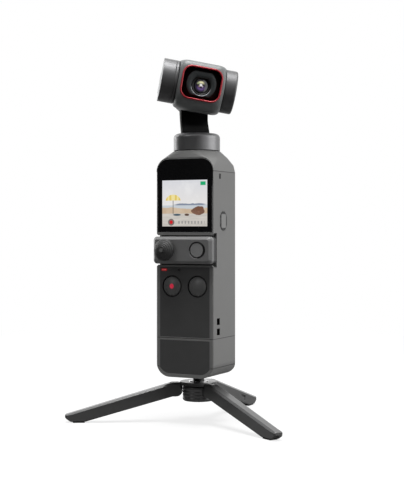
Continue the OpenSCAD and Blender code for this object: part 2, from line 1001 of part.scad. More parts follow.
module roll_housing() {
  color("black") motor_axis() {
    difference() {
      translate([0, 0, motor_y]) cylinder(h = motor_end - motor_y, r = motor_r);
      translate([0, 0, motor_y - over]) cylinder(h = motor_end - motor_wall - motor_y + over, r = motor_r - motor_wall);
      translate([0, 0, motor_y]) cylinder(h = motor_end, r = bearing_r);
    }
    translate([0, 0, rotor_y + rotor_t + 2 * air])
      ring(post_r, bearing_r, motor_end - motor_wall - rotor_y - rotor_t - 2 * air);
  }
}

module roll_cap() {
  round_r = motor_cap_t * 0.8;
  color("black") motor_axis() translate([0, 0, motor_end]) rotate_extrude() {
    square([motor_r, motor_cap_t - round_r]);
    square([motor_r - round_r, motor_cap_t]);
    translate([motor_r - round_r, motor_cap_t - round_r]) intersection() {
      circle(round_r);
      square(round_r);
    }
  }
}

module roll_stator() {
  color("orange") motor_axis() translate([0, 0, rotor_y + rotor_t + 2 * air])
    stator(roll_magnet_r - 1 - air, post_r, roll_magnet_l);
}

module roll_bearings() {
  y0 = rotor_y + rotor_t + 2 * air;
  color("silver") motor_axis() for (y = [y0, motor_end - bearing_h])
    translate([0, 0, y]) ring(bearing_r, shaft_r + running, bearing_h);
}

module roll_rotor() {
  y0 = plate_y + plate_t;
  color("silver") roll_frame() along_y() {
    translate([0, 0, y0]) cylinder(h = rotor_y - y0, r = rotor_boss_r);
    translate([0, 0, rotor_y]) cylinder(h = rotor_t, r = roll_magnet_r);
    translate([0, 0, rotor_y]) cylinder(h = motor_end - air - rotor_y, r = shaft_r);
    translate([0, 0, rotor_y + rotor_t]) ring(roll_magnet_r, roll_magnet_r - 1, roll_magnet_l);
  }
}

// Bracket from the roll motor round to the tilt motor, with the tilt motor's drum

drum_inner = drum_r - drum_wall;
drum_floor = drum_x + tilt_cap_t + tilt_floor_t;

module drum_space(x0, x1, r) {
  translate([x0, 0, 0]) along_x() cylinder(h = x1 - x0, r = r);
}

module bracket_plan() {
  r = bracket_round;
  y1 = plate_y + plate_t;
  difference() {
    union() {
      translate([drum_x + r, 0]) square([-drum_x - r, y1]);
      translate([drum_x, 0]) square([-drum_x, y1 - r]);
      translate([drum_x + r, y1 - r]) circle(r);
    }
    translate([drum_x + bracket_wall, -over]) square([-drum_x, plate_y + over]);
  }
}

module roll_arm() {
  color("black") roll_frame() {
    difference() {
      union() {
        translate([0, 0, -bracket_h / 2]) linear_extrude(bracket_h) bracket_plan();
        along_y() translate([0, 0, plate_y]) cylinder(h = plate_t, r = plate_r);
        drum_space(drum_x, drum_x + drum_w, drum_r);
      }
      drum_space(drum_floor, drum_x + drum_w + over, drum_inner);
      drum_space(drum_x - over, drum_x + tilt_cap_t, drum_inner);
      drum_space(drum_x - over, drum_floor + over, tilt_bearing_r);
    }
    difference() {
      drum_space(drum_floor - over / 2, drum_x + drum_w - tilt_rotor_t - 3 * air, tilt_post_r);
      drum_space(drum_x, drum_x + drum_w, tilt_bearing_r);
    }
  }
}

module tilt_cap() {
  color("silver") roll_frame() drum_space(drum_x, drum_x + tilt_cap_t, drum_inner);
}

tilt_inner_x = drum_x + drum_w - tilt_rotor_t - air;

module tilt_stator() {
  l = tilt_inner_x - 2 * air - drum_floor;
  color("orange") roll_frame() translate([drum_floor, 0, 0]) along_x()
    stator(drum_inner - air - 1 - air, tilt_post_r, l);
}

module tilt_bearing() {
  color("silver") roll_frame() translate([drum_x + tilt_cap_t + air, 0, 0]) along_x()
    ring(tilt_bearing_r, tilt_shaft_r + running, tilt_inner_x - drum_x - tilt_cap_t - 3 * air);
}

module tilt_rotor() {
  boss_r = 4.5;
  r = drum_inner - air;
  color("silver") roll_frame() {
    drum_space(tilt_inner_x, tilt_inner_x + tilt_rotor_t, r);
    drum_space(tilt_inner_x, -block_w / 2, boss_r);
    drum_space(drum_x + tilt_cap_t + air, tilt_inner_x + air, tilt_shaft_r);
    translate([drum_floor + air, 0, 0]) along_x() ring(r, r - 1, tilt_inner_x - drum_floor - air);
  }
}

// Camera block

module block_profile(grow, low) {
  hull() {
    translate([-face_forward + top_r, block_top - grow - top_r]) circle(top_r);
    translate([-face_forward + chin_r, -chin_z + grow + chin_r]) circle(chin_r);
    translate([block_back - grow - back_top_r, block_top - grow - back_top_r]) circle(back_top_r);
    translate([block_back - grow - belly_r, -low + belly_r]) circle(belly_r);
  }
}

module block_form() {
  flat = ring_w / 2 + over / 2;
  mid = block_w / 2 * flat_share;
  end_r = drum_r + slice / 2;
  hull($fn = 32) {
    slab_x(-mid, 2 * mid) block_profile(0, belly);
    slab_x(-flat, 2 * flat) block_profile(over, (belly + end_r) / 2);
    slab_x(-block_w / 2, block_w) circle(end_r);
  }
}

module ring_outline(inset) {
  rounded(ring_w - 2 * inset, ring_h - 2 * inset, ring_r - inset);
}

ring_back = -face_forward + ring_deep;

module camera_front() {
  color("gray") roll_frame() difference() {
    intersection() {
      block_form();
      translate([-block_w, -block_w, -block_w]) cube([2 * block_w, block_w + shell_split, 2 * block_w]);
    }
    slab_y(-2 * face_forward, 2 * face_forward + ring_back) ring_outline(0);
    translate([0, ring_back - over, 0]) along_y() cylinder(h = barrel_l + over, r = barrel_r);
    slab_y(ring_back + barrel_l, face_forward) square([sensor_w + air, sensor_h + air], center = true);
  }
}

module camera_rear() {
  color("gray") roll_frame() intersection() {
    block_form();
    translate([-block_w, shell_split, -block_w]) cube([2 * block_w, block_w, 2 * block_w]);
  }
}

cap_groove = 0.2;

module side_cap() {
  edge_r = 0.7;
  color("dimgray") roll_frame() translate([block_w / 2, 0, 0]) along_x() rotate_extrude() {
    square([drum_r - 2 * edge_r, cap_w]);
    translate([0, cap_groove]) square([drum_r, cap_w - cap_groove - edge_r]);
    square([drum_r - edge_r, cap_w]);
    translate([drum_r - edge_r, cap_w - edge_r]) intersection() {
      circle(edge_r);
      square(edge_r);
    }
  }
}

module lens_ring() {
  color("red") roll_frame() slab_y(-face_forward - ring_proud, ring_deep + ring_proud) difference() {
    ring_outline(0);
    ring_outline(ring_t);
  }
}

module hood_outline() {
  intersection() {
    circle(hood_r);
    square([2 * hood_r, 2 * hood_cut], center = true);
  }
}

bezel_t = 0.6;

module lens_bezel() {
  color("black") roll_frame() slab_y(ring_back - bezel_t, bezel_t) difference() {
    ring_outline(ring_t);
    hood_outline();
  }
}

module hood_plate() {
  color("darkslategray") roll_frame() slab_y(ring_back - hood_t, hood_t) difference() {
    hood_outline();
    intersection() {
      circle(iris_r);
      translate([-iris_r, -iris_r]) square([2 * iris_r, iris_r + iris_flat]);
    }
  }
}

module lens_glass() {
  color("indigo") roll_frame() translate([0, ring_back + glass_sink, 0]) rotate([90, 0, 0]) rotate_extrude() {
    translate([0, -glass_crown]) square([glass_r, glass_crown]);
    intersection() {
      translate([0, -glass_sphere + glass_crown]) circle(glass_sphere);
      square([glass_r, glass_crown]);
    }
  }
}

glass_sphere = (glass_r * glass_r + glass_crown * glass_crown) / (2 * glass_crown);

module lens_barrel() {
  color("black") roll_frame() translate([0, ring_back, 0]) along_y() difference() {
    ring(barrel_r, glass_r, barrel_l);
    translate([0, 0, -over]) cylinder(h = over / 2, r = glass_r);
  }
}

module image_sensor() {
  y0 = ring_back + barrel_l;
  color("green") roll_frame() {
    slab_y(y0 + chip_t, sensor_t) square([sensor_w, sensor_h], center = true);
    slab_y(y0, chip_t) square([chip_w, chip_h], center = true);
  }
}

// Tripod

pin_z = hub_z - pin_drop;

module leg_slab(turn, w) {
  tripod_frame(turn) translate([0, w / 2, 0]) rotate([90, 0, 0]) linear_extrude(w) children();
}

turns = [90, 210, 330];

module tripod_hub() {
  color("dimgray") {
    difference() {
      union() {
        tripod_frame() translate([0, 0, hub_z - hub_t]) cylinder(h = hub_t, r = hub_r);
        for (a = turns) leg_slab(a, tongue_w) {
          translate([pin_reach, pin_z]) circle(tongue_r);
          translate([wheel_r + wheel_gap, pin_z]) square([pin_reach + tongue_r - wheel_r - wheel_gap, pin_drop - air]);
        }
      }
      tripod_frame() translate([0, 0, hub_z - hub_t - over]) cylinder(h = hub_t + 2 * over, r = stud_neck_r + running);
      pin_holes(pin_r);
    }
  }
}

module pin_holes(r) {
  for (a = turns) tripod_frame(a) translate([pin_reach, 0, pin_z]) rotate([90, 0, 0])
    cylinder(h = leg_w, r = r, center = true);
}

module leg_pins() {
  color("silver") pin_holes(pin_r);
}

leg_slope = atan2(pin_z - knuckle_r - leg_tip_h / 3, foot_reach - pin_reach - leg_flat);

module pad_profile() {
  polygon([
    [foot_reach - pad_l / 2, 0], [foot_reach + pad_l / 2, 0],
    [foot_reach + pad_l / 2 + pad_flare, pad_h], [foot_reach - pad_l / 2 - pad_flare, pad_h]
  ]);
}

module leg_profile() {
  root = [pin_reach + leg_flat, pin_z - knuckle_r];
  tip_r = foot_reach + leg_tip;
  low_z = pad_h * 0.3;
  circle_c = [pin_reach, pin_z];
  translate(circle_c) circle(knuckle_r);
  polygon([
    [pin_reach, pin_z - knuckle_r], root, [foot_reach - pad_l / 2, low_z + pad_flare * 2],
    [tip_r - tip_bevel, low_z], [tip_r, low_z + tip_bevel], [tip_r - pad_flare, low_z + leg_tip_h * 0.75],
    [pin_reach + leg_flat * 1.6, pin_z + knuckle_r * 0.82], [pin_reach + leg_flat * 0.8, pin_z + knuckle_r],
    [pin_reach, pin_z + knuckle_r]
  ]);
}

module leg_plan() {
  inner = pin_reach - knuckle_r;
  outer = foot_reach + leg_tip;
  slim = leg_w * 0.44;
  polygon([
    [inner - over, -leg_w / 2], [pin_reach + 2 * leg_flat, -leg_w / 2], [outer - tip_bevel, -slim],
    [outer, -slim + tip_bevel / 2], [outer, slim - tip_bevel / 2], [outer - tip_bevel, slim],
    [pin_reach + 2 * leg_flat, leg_w / 2], [inner - over, leg_w / 2]
  ]);
}

module leg(turn) {
  fork = tongue_w + 2 * fork_play;
  difference() {
    intersection() {
      leg_slab(turn, 2 * leg_w) leg_profile();
      tripod_frame(turn) linear_extrude(hub_z) leg_plan();
    }
    leg_slab(turn, fork) translate([0, pin_z - 2 * knuckle_r])
      square([pin_reach + tongue_r + 2 * air, 4 * knuckle_r]);
    leg_slab(turn, pad_w) pad_profile();
    pin_holes(pin_r + running);
  }
}

module leg_rear() {
  r = foot_reach - pad_l;
  z = (pin_z - knuckle_r) * (foot_reach - r) / (foot_reach - pin_reach) + leg_tip_h / 2;
  color("dimgray") difference() {
    leg(turns[0]);
    tripod_frame(turns[0]) translate([r, -leg_w / 2, z]) rotate([0, leg_slope, 0]) {
      cube([hook_l, 2 * hook_deep, hook_t], center = true);
      translate([(hook_l - hook_t) / 2, 0, -hook_t]) cube([hook_t, 2 * hook_deep, hook_t * 2], center = true);
    }
  }
}

module leg_left() {
  color("dimgray") leg(turns[1]);
}

module leg_right() {
  color("dimgray") leg(turns[2]);
}

module foot(turn) {
  color("black") leg_slab(turn, pad_w) pad_profile();
}

module foot_rear() {
  foot(turns[0]);
}

module foot_left() {
  foot(turns[1]);
}

module foot_right() {
  foot(turns[2]);
}

module wheel_outline() {
  step = 360 / wheel_teeth;
  polygon([for (i = [0 : wheel_teeth - 1], s = [0, 0.5]) let (r = wheel_r - (s == 0 ? 0 : tooth_d))
    [r * cos((i + s) * step), r * sin((i + s) * step)]]);
}

wheel_z = hub_z - hub_t - wheel_gap - wheel_h;

module thumbwheel() {
  bore = stud_neck_r;
  color("gray") tripod_frame() translate([0, 0, wheel_z]) {
    linear_extrude(wheel_h) difference() {
      circle(wheel_r - tooth_d);
      circle(bore);
    }
    translate([0, 0, wheel_h - wheel_rim_h]) ring(wheel_r, wheel_r - 2 * tooth_d, wheel_rim_h);
    ring(wheel_r, wheel_r - 2 * tooth_d, wheel_rim_h);
    translate([0, 0, 2 * wheel_rim_h]) linear_extrude(wheel_h - 4 * wheel_rim_h) difference() {
      wheel_outline();
      circle(wheel_r - 2 * tooth_d);
    }
  }
}

module clamp_stud() {
  neck_top = hub_z + stud_neck_h;
  thread_top = base_z + stud_h;
  tip = 0.6;
  color("black") tripod_frame() {
    translate([0, 0, wheel_z]) cylinder(h = neck_top - wheel_z, r = stud_neck_r);
    translate([0, 0, neck_top]) cylinder(h = thread_top - tip - neck_top, r = stud_r);
    translate([0, 0, thread_top - tip]) cylinder(h = tip, r1 = stud_r, r2 = stud_r - tip);
  }
}

main_housing();
top_shoulder();
screen_glass();
display_panel();
fascia_panel();
status_light();
main_board();
battery();
switches();
usb_socket();
slot_contacts();
pan_seat();
pan_stator();
pan_bearings();
base_housing();
base_cap();
base_panel();
base_connector();
thread_insert();
record_button();
function_button();
power_button();
stick_housing();
stick_rail();
stick_button();
stick_yoke();
joystick();
pan_collar();
pan_magnets();
pan_arm();
arm_cover();
roll_housing();
roll_cap();
roll_stator();
roll_bearings();
roll_arm();
roll_rotor();
tilt_cap();
tilt_stator();
tilt_bearing();
tilt_rotor();
camera_front();
camera_rear();
side_cap();
lens_ring();
lens_bezel();
hood_plate();
lens_glass();
lens_barrel();
image_sensor();
tripod_hub();
leg_pins();
thumbwheel();
clamp_stud();
leg_rear();
leg_left();
leg_right();
foot_rear();
foot_left();
foot_right();
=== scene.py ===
"""Looks of a pocket gimbal camera on its folding mini tripod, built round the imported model."""
import json
import math

import bmesh
import bpy
from mathutils import Matrix, Vector


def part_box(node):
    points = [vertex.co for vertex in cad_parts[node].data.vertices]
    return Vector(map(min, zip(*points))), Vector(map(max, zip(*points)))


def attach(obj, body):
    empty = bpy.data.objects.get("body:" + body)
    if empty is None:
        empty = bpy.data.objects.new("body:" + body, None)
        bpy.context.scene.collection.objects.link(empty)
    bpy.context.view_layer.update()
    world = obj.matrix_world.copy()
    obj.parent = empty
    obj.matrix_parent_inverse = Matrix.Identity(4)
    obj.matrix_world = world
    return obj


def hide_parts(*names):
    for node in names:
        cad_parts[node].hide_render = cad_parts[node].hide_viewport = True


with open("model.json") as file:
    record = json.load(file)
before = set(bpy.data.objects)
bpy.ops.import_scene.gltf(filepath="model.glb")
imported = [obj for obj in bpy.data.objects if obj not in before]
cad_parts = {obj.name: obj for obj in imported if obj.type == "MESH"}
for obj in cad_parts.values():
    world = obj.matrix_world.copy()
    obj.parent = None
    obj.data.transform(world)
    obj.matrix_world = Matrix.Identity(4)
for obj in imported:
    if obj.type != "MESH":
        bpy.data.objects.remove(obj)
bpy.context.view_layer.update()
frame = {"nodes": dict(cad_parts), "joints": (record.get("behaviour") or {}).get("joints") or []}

# Lengths below are millimetres, and the scene is in metres
MM = 0.001
RIGHT, BACK, UP = Vector((1, 0, 0)), Vector((0, 1, 0)), Vector((0, 0, 1))

# The photograph's camera: level, a little right of the screen's middle
IMAGE_HEIGHT = 500
FOCAL_PIXELS = 1150
SENSOR = 36
AZIMUTH = math.radians(26.59)
CAMERA_DISTANCE = 457.26
CAMERA_SIDE = 2.04
CAMERA_HEIGHT = 75.81
HORIZON_ROW = 230.92


# Places

def joint(name):
    """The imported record's joint of that name."""
    return next(j for j in frame["joints"] if j["name"] == name)


def joint_point(name):
    """A point on a joint's axis, in metres."""
    return Vector(joint(name)["pos_m"])


def head_place():
    """The camera head's own frame: x along the tilt axis, y back along the roll axis."""
    x = Vector(joint("tilt_turn")["axis"])
    y = Vector(joint("roll_turn")["axis"])
    place = Matrix((x, y, x.cross(y))).transposed().to_4x4()
    place.translation = joint_point("tilt_turn")
    return place


def box_mm(node):
    """Lowest and highest corner of a node, in millimetres."""
    low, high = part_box(node)
    return low / MM, high / MM


def middle_of(node):
    """The middle of a node's box, in millimetres."""
    low, high = box_mm(node)
    return (low + high) / 2


# The handle's seams and sides
HANDLE_LOW, HANDLE_HIGH = box_mm("main_housing")
SHOULDER_SEAM = HANDLE_HIGH.z
BASE_SEAM = HANDLE_LOW.z
CAP_SEAM = box_mm("base_cap")[1].z
SIDE_X = HANDLE_HIGH.x
FRONT_Y = HANDLE_LOW.y

# Openings in the handle's sides, as spans of y and z, and how far in x the eyelet's painted shade reaches
MIC_SLIT = (-5.6, -4.0), (96.1, 98.1)
EYELET = (-7.6, -4.8), (35.2, 42.0)
EYELET_FLOOR, EYELET_RIM = 8, 0.2
SEAM_HALF = 0.11

# Painted shade in the accessory slot: past the stick unit's height, behind the front, short of the sides
SLOT_OVER = 0.6
SLOT_DEPTHS = 0.25, 3.0
SLOT_SHORT = 1

# Pale rims beside the front glass and the dark panels. The glass's rim fades out below the shoulder
GLASS_RIM, PANEL_RIM = 0.4, 0.75
RIM_FADE_DOWN, RIM_FADE = 6, 5

# The camera block and its lens, in the head's frame
HEAD = head_place()
HEAD_X, HEAD_Y, HEAD_Z = (HEAD.col[i].to_3d() for i in range(3))
HEAD_CENTRE = HEAD.translation / MM
BLOCK_LEFT, BLOCK_RIGHT = -8.55, 9.7
BLOCK_MIDDLE = (BLOCK_LEFT + BLOCK_RIGHT) / 2
FACE_Y = -9.5
BACK_Y = 9.6
BLOCK_TOP, BLOCK_BELLY = 8.9, 10.0
DRUM_R = 8.5
DRUM_END = -14.9
CAD_DRUM_EDGE = -10.0
RING_W, RING_H, RING_T, RING_R = 15.9, 13.2, 0.6, 3.8
RING_FRONT, RING_BACK = -9.75, -7.6
RING_EDGE, RING_LIFT = 0.16, 0.01
FLOOR_T = 0.3
HOOD_R, HOOD_CUT, HOOD_FRONT = 5.85, 4.75, -8.9
HOOD_EDGE = 0.25
IRIS_R, IRIS_FLAT = 3.8, 3.05
IRIS_FLARE, IRIS_DEPTH = 0.3, 0.35
LENS_DROP = 0.7
LENS_PLACE = HEAD @ Matrix.Translation(Vector((BLOCK_MIDDLE, RING_BACK, -LENS_DROP)) * MM)
LENS_CENTRE = LENS_PLACE.translation / MM

# Radius and height above the floor of the black steps round the lens, and the lens's own dome
LENS_STEPS = ((3.79, 0.0), (3.79, 1.0), (3.45, 1.0), (3.4, 0.82), (3.15, 0.8), (3.05, 0.5), (2.85, 0.46),
              (2.85, 0.0))
DOME_R, DOME_FOOT, DOME_RISE, DOME_TIP = 2.84, 0.1, 0.55, 0.02

# The lip that closes the gap between the drum and the block
LIP_DEEP, LIP_GAP, LIP_EDGE = 1, 0.2, 0.15

# The tripod's legs, each in the frame of its pin: x out from the tripod's axis, z up
LEG_HALF = 2.42
LEG_CHAMFER, LEG_EDGE = 0.75, 0.3
FORK_W, FORK_DEPTH, FORK_REACH = 1.9, 2.5, 4
# Distance from the pin, then the lowest and the highest point there
KNUCKLE = ((-2.45, -0.3, 0.3), (-2.3, -0.85, 0.85), (-1.9, -1.55, 1.55), (-1.45, -1.95, 1.95),
           (-1.3, -2.08, 3.0), (-0.8, -2.3, 3.12), (0.0, -2.45, 3.12))
# The same along the bar, and half its width there
LEG_STATIONS = ((1.6, -2.48, 3.12, LEG_HALF), (5.4, -3.55, 2.0, LEG_HALF), (36.0, -12.15, -7.01, 2.16),
                (41.7, -12.2, -8.69, 2.11), (43.3, -11.2, -9.16, 2.05), (44.0, -10.5, -9.45, 1.6))
HOOK_REACH, HOOK_L, HOOK_T, HOOK_DEEP = 29.3, 4.6, 0.9, 0.8
HOOK_Z = -7.8
LEG_SLOPE = math.radians(15.6)
WASHER_IN, WASHER_OUT, WASHER_T = 2.35, 3.9, 0.16
WHEEL_R, WHEEL_BORE, WHEEL_GROOVE, WHEEL_BAND = 6.33, 2.25, 0.25, 1.2

# Points of a mesh that lie closer than this are one
WELD = 0.001


# Node graphs

def srgb(red, green=None, blue=None):
    """A colour written as 0 to 255, as the linear colour that a shader takes. One number is a grey."""
    parts = (red, red if green is None else green, red if blue is None else blue)
    return tuple(((v / 255 + 0.055) / 1.055) ** 2.4 if v > 10.3 else v / 255 / 12.92 for v in parts) + (1,)


def tint(colour, factor):
    """A colour made darker or paler."""
    return tuple(c * factor for c in colour[:3]) + (1,)


class Finish:
    """A procedural material, whose patterns are laid out in millimetres on the piece at rest."""

    SOCKETS = {"colour": "Base Color", "roughness": "Roughness", "metallic": "Metallic",
               "specular": "Specular IOR Level", "coat": "Coat Weight", "coat_roughness": "Coat Roughness",
               "glow": "Emission Color", "glow_strength": "Emission Strength", "normal": "Normal"}

    def __init__(self, name, **settings):
        self.material = bpy.data.materials.new(name)
        self.material.use_nodes = True
        self.tree = self.material.node_tree
        self.shader = self.tree.nodes["Principled BSDF"]
        for key, value in settings.items():
            self.set(key, value)
        place = self.tree.nodes.new("ShaderNodeTexCoord")
        self.point = self.vector("SCALE", place.outputs["Object"], scale=1 / MM)

    def set(self, key, value):
        """Sets one of the shader's settings to a value or to a pattern."""
        self.put(self.shader.inputs[self.SOCKETS[key]], value)
        return self

    def put(self, socket, value):
        if isinstance(value, bpy.types.NodeSocket):
            self.tree.links.new(value, socket)
        else:
            socket.default_value = value

    def math(self, operation, a, b=0.0, c=0.0):
        node = self.tree.nodes.new("ShaderNodeMath")
        node.operation = operation
        for socket, value in zip(node.inputs, (a, b, c)):
            self.put(socket, value)
        return node.outputs[0]

    def vector(self, operation, a, b=(0, 0, 0), scale=1.0):
        node = self.tree.nodes.new("ShaderNodeVectorMath")
        node.operation = operation
        self.put(node.inputs[0], a)
        self.put(node.inputs[1], b)
        if operation == "SCALE":
            node.inputs["Scale"].default_value = scale
        return node.outputs["Value" if operation in ("LENGTH", "DOT_PRODUCT") else "Vector"]

    def mix(self, share, a, b):
        """Colour a, turned into b by a share."""
        node = self.tree.nodes.new("ShaderNodeMix")
        node.data_type = "RGBA"
        colours = [s for s in node.inputs if s.type == "RGBA"]
        for socket, value in ((node.inputs[0], share), (colours[0], a), (colours[1], b)):
            self.put(socket, value)
        return next(s for s in node.outputs if s.type == "RGBA")

    def layers(self, under, coats):
        """A colour with coats over it, each a mask and its colour."""
        for mask, colour in coats:
            under = self.mix(mask, under, colour)
        return under

    def paint(self, mask, colour):
        """Lays a colour over what the surface has, where mask is 1."""
        socket = self.shader.inputs["Base Color"]
        under = socket.links[0].from_socket if socket.links else tuple(socket.default_value)
        return self.set("colour", self.mix(mask, under, colour))

    def bump(self, height, depth):
        """Raises the surface by a height pattern, whose 1 stands depth high."""
        node = self.tree.nodes.new("ShaderNodeBump")
        node.inputs["Distance"].default_value = depth * MM
        node.inputs["Strength"].default_value = 1.0
        self.put(node.inputs["Height"], height)
        return self.set("normal", node.outputs["Normal"])

    def along(self, direction, start=(0, 0, 0)):
        """Distance of the shaded point past start, in a direction."""
        return self.vector("DOT_PRODUCT", self.vector("SUBTRACT", self.point, start), direction)

    def noise(self, size, detail=2.0, stretch=(1, 1, 1)):
        """Noise whose grains measure about size, drawn out along the axes by stretch."""
        node = self.tree.nodes.new("ShaderNodeTexNoise")
        stretched = self.vector("MULTIPLY", self.point, tuple(1 / (size * s) for s in stretch))
        self.put(node.inputs["Vector"], stretched)
        node.inputs["Scale"].default_value = 1
        node.inputs["Detail"].default_value = detail
        return node.outputs["Fac"]

    def rings(self, height, pitch):
        """Noise that changes with height alone, as fine lines a pitch apart."""
        node = self.tree.nodes.new("ShaderNodeTexNoise")
        node.noise_dimensions = "1D"
        self.put(node.inputs["W"], self.math("MULTIPLY", height, 1 / pitch))
        node.inputs["Scale"].default_value = 1
        return node.outputs["Fac"]

    def waves(self, value, rate, edge, soft):
        """Stripes over value: 1 where the sine of value times rate is over an edge."""
        return self.step(self.math("SINE", self.math("MULTIPLY", value, rate)), edge, soft)

    def spread(self, value, low, high, start=0.3, end=0.7):
        """Takes start to end over to low to high."""
        node = self.tree.nodes.new("ShaderNodeMapRange")
        for socket, v in zip(node.inputs, (value, start, end, low, high)):
            self.put(socket, v)
        return node.outputs["Result"]

    def invert(self, mask):
        return self.math("SUBTRACT", 1.0, mask)

    def step(self, value, edge, soft):
        """Rises from 0 to 1 as value passes edge, over a width of soft."""
        return self.spread(value, 0.0, 1.0, edge - soft / 2, edge + soft / 2)

    def below(self, value, edge, soft):
        """Falls from 1 to 0 as value passes edge, over a width of soft."""
        return self.invert(self.step(value, edge, soft))

    def inside(self, value, low, high, soft=0.06):
        """1 while value lies between low and high."""
        return self.math("MULTIPLY", self.step(value, low, soft), self.below(value, high, soft))

    def patch(self, u, v, spans, soft=0.02):
        """1 within a rectangle, given as a span of u and a span of v."""
        return self.math("MULTIPLY", self.inside(u, *spans[0], soft), self.inside(v, *spans[1], soft))

    def all_of(self, *masks):
        result = masks[0]
        for mask in masks[1:]:
            result = self.math("MULTIPLY", result, mask)
        return result

    def away(self, u, v, centre=(0, 0), radii=(1, 1)):
        """Distance of (u, v) from centre, as a share of the radii."""
        a, b = (self.math("DIVIDE", self.math("SUBTRACT", value, c), radius)
                for value, c, radius in zip((u, v), centre, radii))
        return self.math("SQRT", self.math("MULTIPLY_ADD", a, a, self.math("MULTIPLY", b, b)))

    def blot(self, u, v, centre, radii, soft, wobble=0.0):
        """1 within an ellipse, whose edge may wander."""
        wander_size = 1.6
        away = self.away(u, v, centre, radii)
        if wobble:
            away = self.math("MULTIPLY_ADD", self.noise(wander_size, detail=3), wobble, away)
        return self.below(away, 1.0 + wobble / 2, soft)

    def front_away(self, middle, radii=(1, 1)):
        """Distance from a point as the handle's front shows it, as a share of the radii."""
        return self.away(self.along(RIGHT), self.along(UP), (middle.x, middle.z), radii)

    def front_dot(self, middle, radii, soft):
        """1 within an ellipse on the handle's front."""
        return self.below(self.front_away(middle, radii), 1.0, soft)

    def outline(self, u, v, centre, size, corner, width):
        """1 along the outline of a rounded rectangle."""
        past = []
        for value, c, length in zip((u, v), centre, size):
            off = self.math("ABSOLUTE", self.math("SUBTRACT", value, c))
            past.append(self.math("MAXIMUM", self.math("SUBTRACT", off, length / 2 - corner), 0.0))
        return self.inside(self.away(*past), corner - width / 2, corner + width / 2)


def moulded(name, colour, roughness=0.45, grain=0.14, depth=0.004, **settings):
    """Moulded or painted surface: fine grain, a little unevenness of tone and gloss."""
    cloud_size, tone_swing, gloss_swing = 6.0, 0.07, 0.05
    f = Finish(name, **settings)
    speck = f.noise(grain)
    cloud = f.noise(cloud_size, detail=3)
    tone = f.math("MULTIPLY_ADD", speck, 0.5, f.math("MULTIPLY", cloud, 0.5))
    f.set("colour", f.mix(f.spread(tone, 0, 1), tint(colour, 1 - tone_swing), tint(colour, 1 + tone_swing)))
    f.set("roughness", f.spread(tone, roughness - gloss_swing, roughness + gloss_swing))
    return f.bump(speck, depth)


def turned(name, colour, direction, roughness=0.38, **settings):
    """Metal turned on a lathe: fine lines round the axis that direction gives."""
    pitch, depth, grain = 0.07, 0.0015, 0.12
    tone_swing, smoother, rougher = 0.08, 0.05, 0.06
    f = Finish(name, **settings)
    lines = f.rings(f.along(direction), pitch)
    f.set("colour", f.mix(f.spread(lines, 0, 1), tint(colour, 1 - tone_swing), tint(colour, 1 + tone_swing)))
    f.set("roughness", f.spread(f.noise(grain), roughness - smoother, roughness + rougher))
    return f.bump(lines, depth)


# Meshes

def draw(name, form, place):
    """An object from a form's points and faces, drawn in millimetres in the frame place."""
    points, faces = form
    mesh = bpy.data.meshes.new(name)
    mesh.from_pydata([place @ (Vector(p) * MM) for p in points], [], faces)
    bm = bmesh.new()
    bm.from_mesh(mesh)
    bmesh.ops.remove_doubles(bm, verts=bm.verts, dist=WELD * MM)
    bmesh.ops.recalc_face_normals(bm, faces=bm.faces)
    for face in bm.faces:
        face.smooth = True
    bm.to_mesh(mesh)
    bm.free()
    obj = bpy.data.objects.new(name, mesh)
    bpy.context.scene.collection.objects.link(obj)
    return obj


def piece(name, form, body, finish, place, replaces=()):
    """A drawn piece that rides on a body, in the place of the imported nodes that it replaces."""
    obj = draw(name, form, place)
    obj.data.materials.append(finish.material)
    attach(obj, body)
    if replaces:
        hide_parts(*replaces)
    return obj


def carve(obj, form, place):
    """Cuts a closed form out of a piece."""
    cutter = draw("cutter", form, place)
    mesh = cutter.data
    cut = obj.modifiers.new("cut", "BOOLEAN")
    cut.object = cutter
    cut.solver = "EXACT"
    bpy.context.view_layer.update()
    carved = bpy.data.meshes.new_from_object(obj.evaluated_get(bpy.context.evaluated_depsgraph_get()))
    obj.modifiers.remove(cut)
    obj.data = carved
    bpy.data.objects.remove(cutter)
    bpy.data.meshes.remove(mesh)


def soften(obj, width, segments=2, angle=30):
    """Shades a piece smooth and its flats flat, and rounds the edges that turn by more than angle."""
    for polygon in obj.data.polygons:
        polygon.use_smooth = True
    weld = obj.modifiers.new("weld", "WELD")
    weld.merge_threshold = WELD * MM
    flats = obj.modifiers.new("flats", "DECIMATE")
    flats.decimate_type = "DISSOLVE"
    flats.angle_limit = math.radians(0.3)
    bevel = obj.modifiers.new("edges", "BEVEL")
    bevel.width = width * MM
    bevel.segments = segments
    bevel.limit_method = "ANGLE"
    bevel.angle_limit = math.radians(angle)
    bevel.miter_outer = "MITER_ARC"
    weighted = obj.modifiers.new("shading", "WEIGHTED_NORMAL")
    weighted.keep_sharp = False


def dress(names, finish, edge, segments=2):
    """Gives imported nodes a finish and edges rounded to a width."""
    for name in names.split():
        obj = frame["nodes"][name]
        for s in obj.material_slots:
            s.material = finish.material
        soften(obj, edge, segments)


def loft(rings, ends=True):
    """Points and faces of a skin through rings of equal length, closed by flat ends or open."""
    count = len(rings[0])
    points = [p for ring in rings for p in ring]
    faces = []
    for i in range(len(rings) - 1):
        for j in range(count):
            a, b = i * count + j, i * count + (j + 1) % count
            faces.append((a, b, b + count, a + count))
    if ends:
        faces.append(tuple(range(count)))
        faces.append(tuple(range((len(rings) - 1) * count, len(rings) * count)))
    return points, faces


def band(rings):
    """Points and faces of a closed band, through rings that come back to the first."""
    return loft(rings + [rings[0]], ends=False)


def turn(steps):
    """Angles once round."""
    return [2 * math.pi * i / steps for i in range(steps)]


def round_rings(profile, steps=96):
    """Rings about z through (radius, z) points."""
    return [[(r * math.cos(a), r * math.sin(a), z) for a in turn(steps)] for r, z in profile]


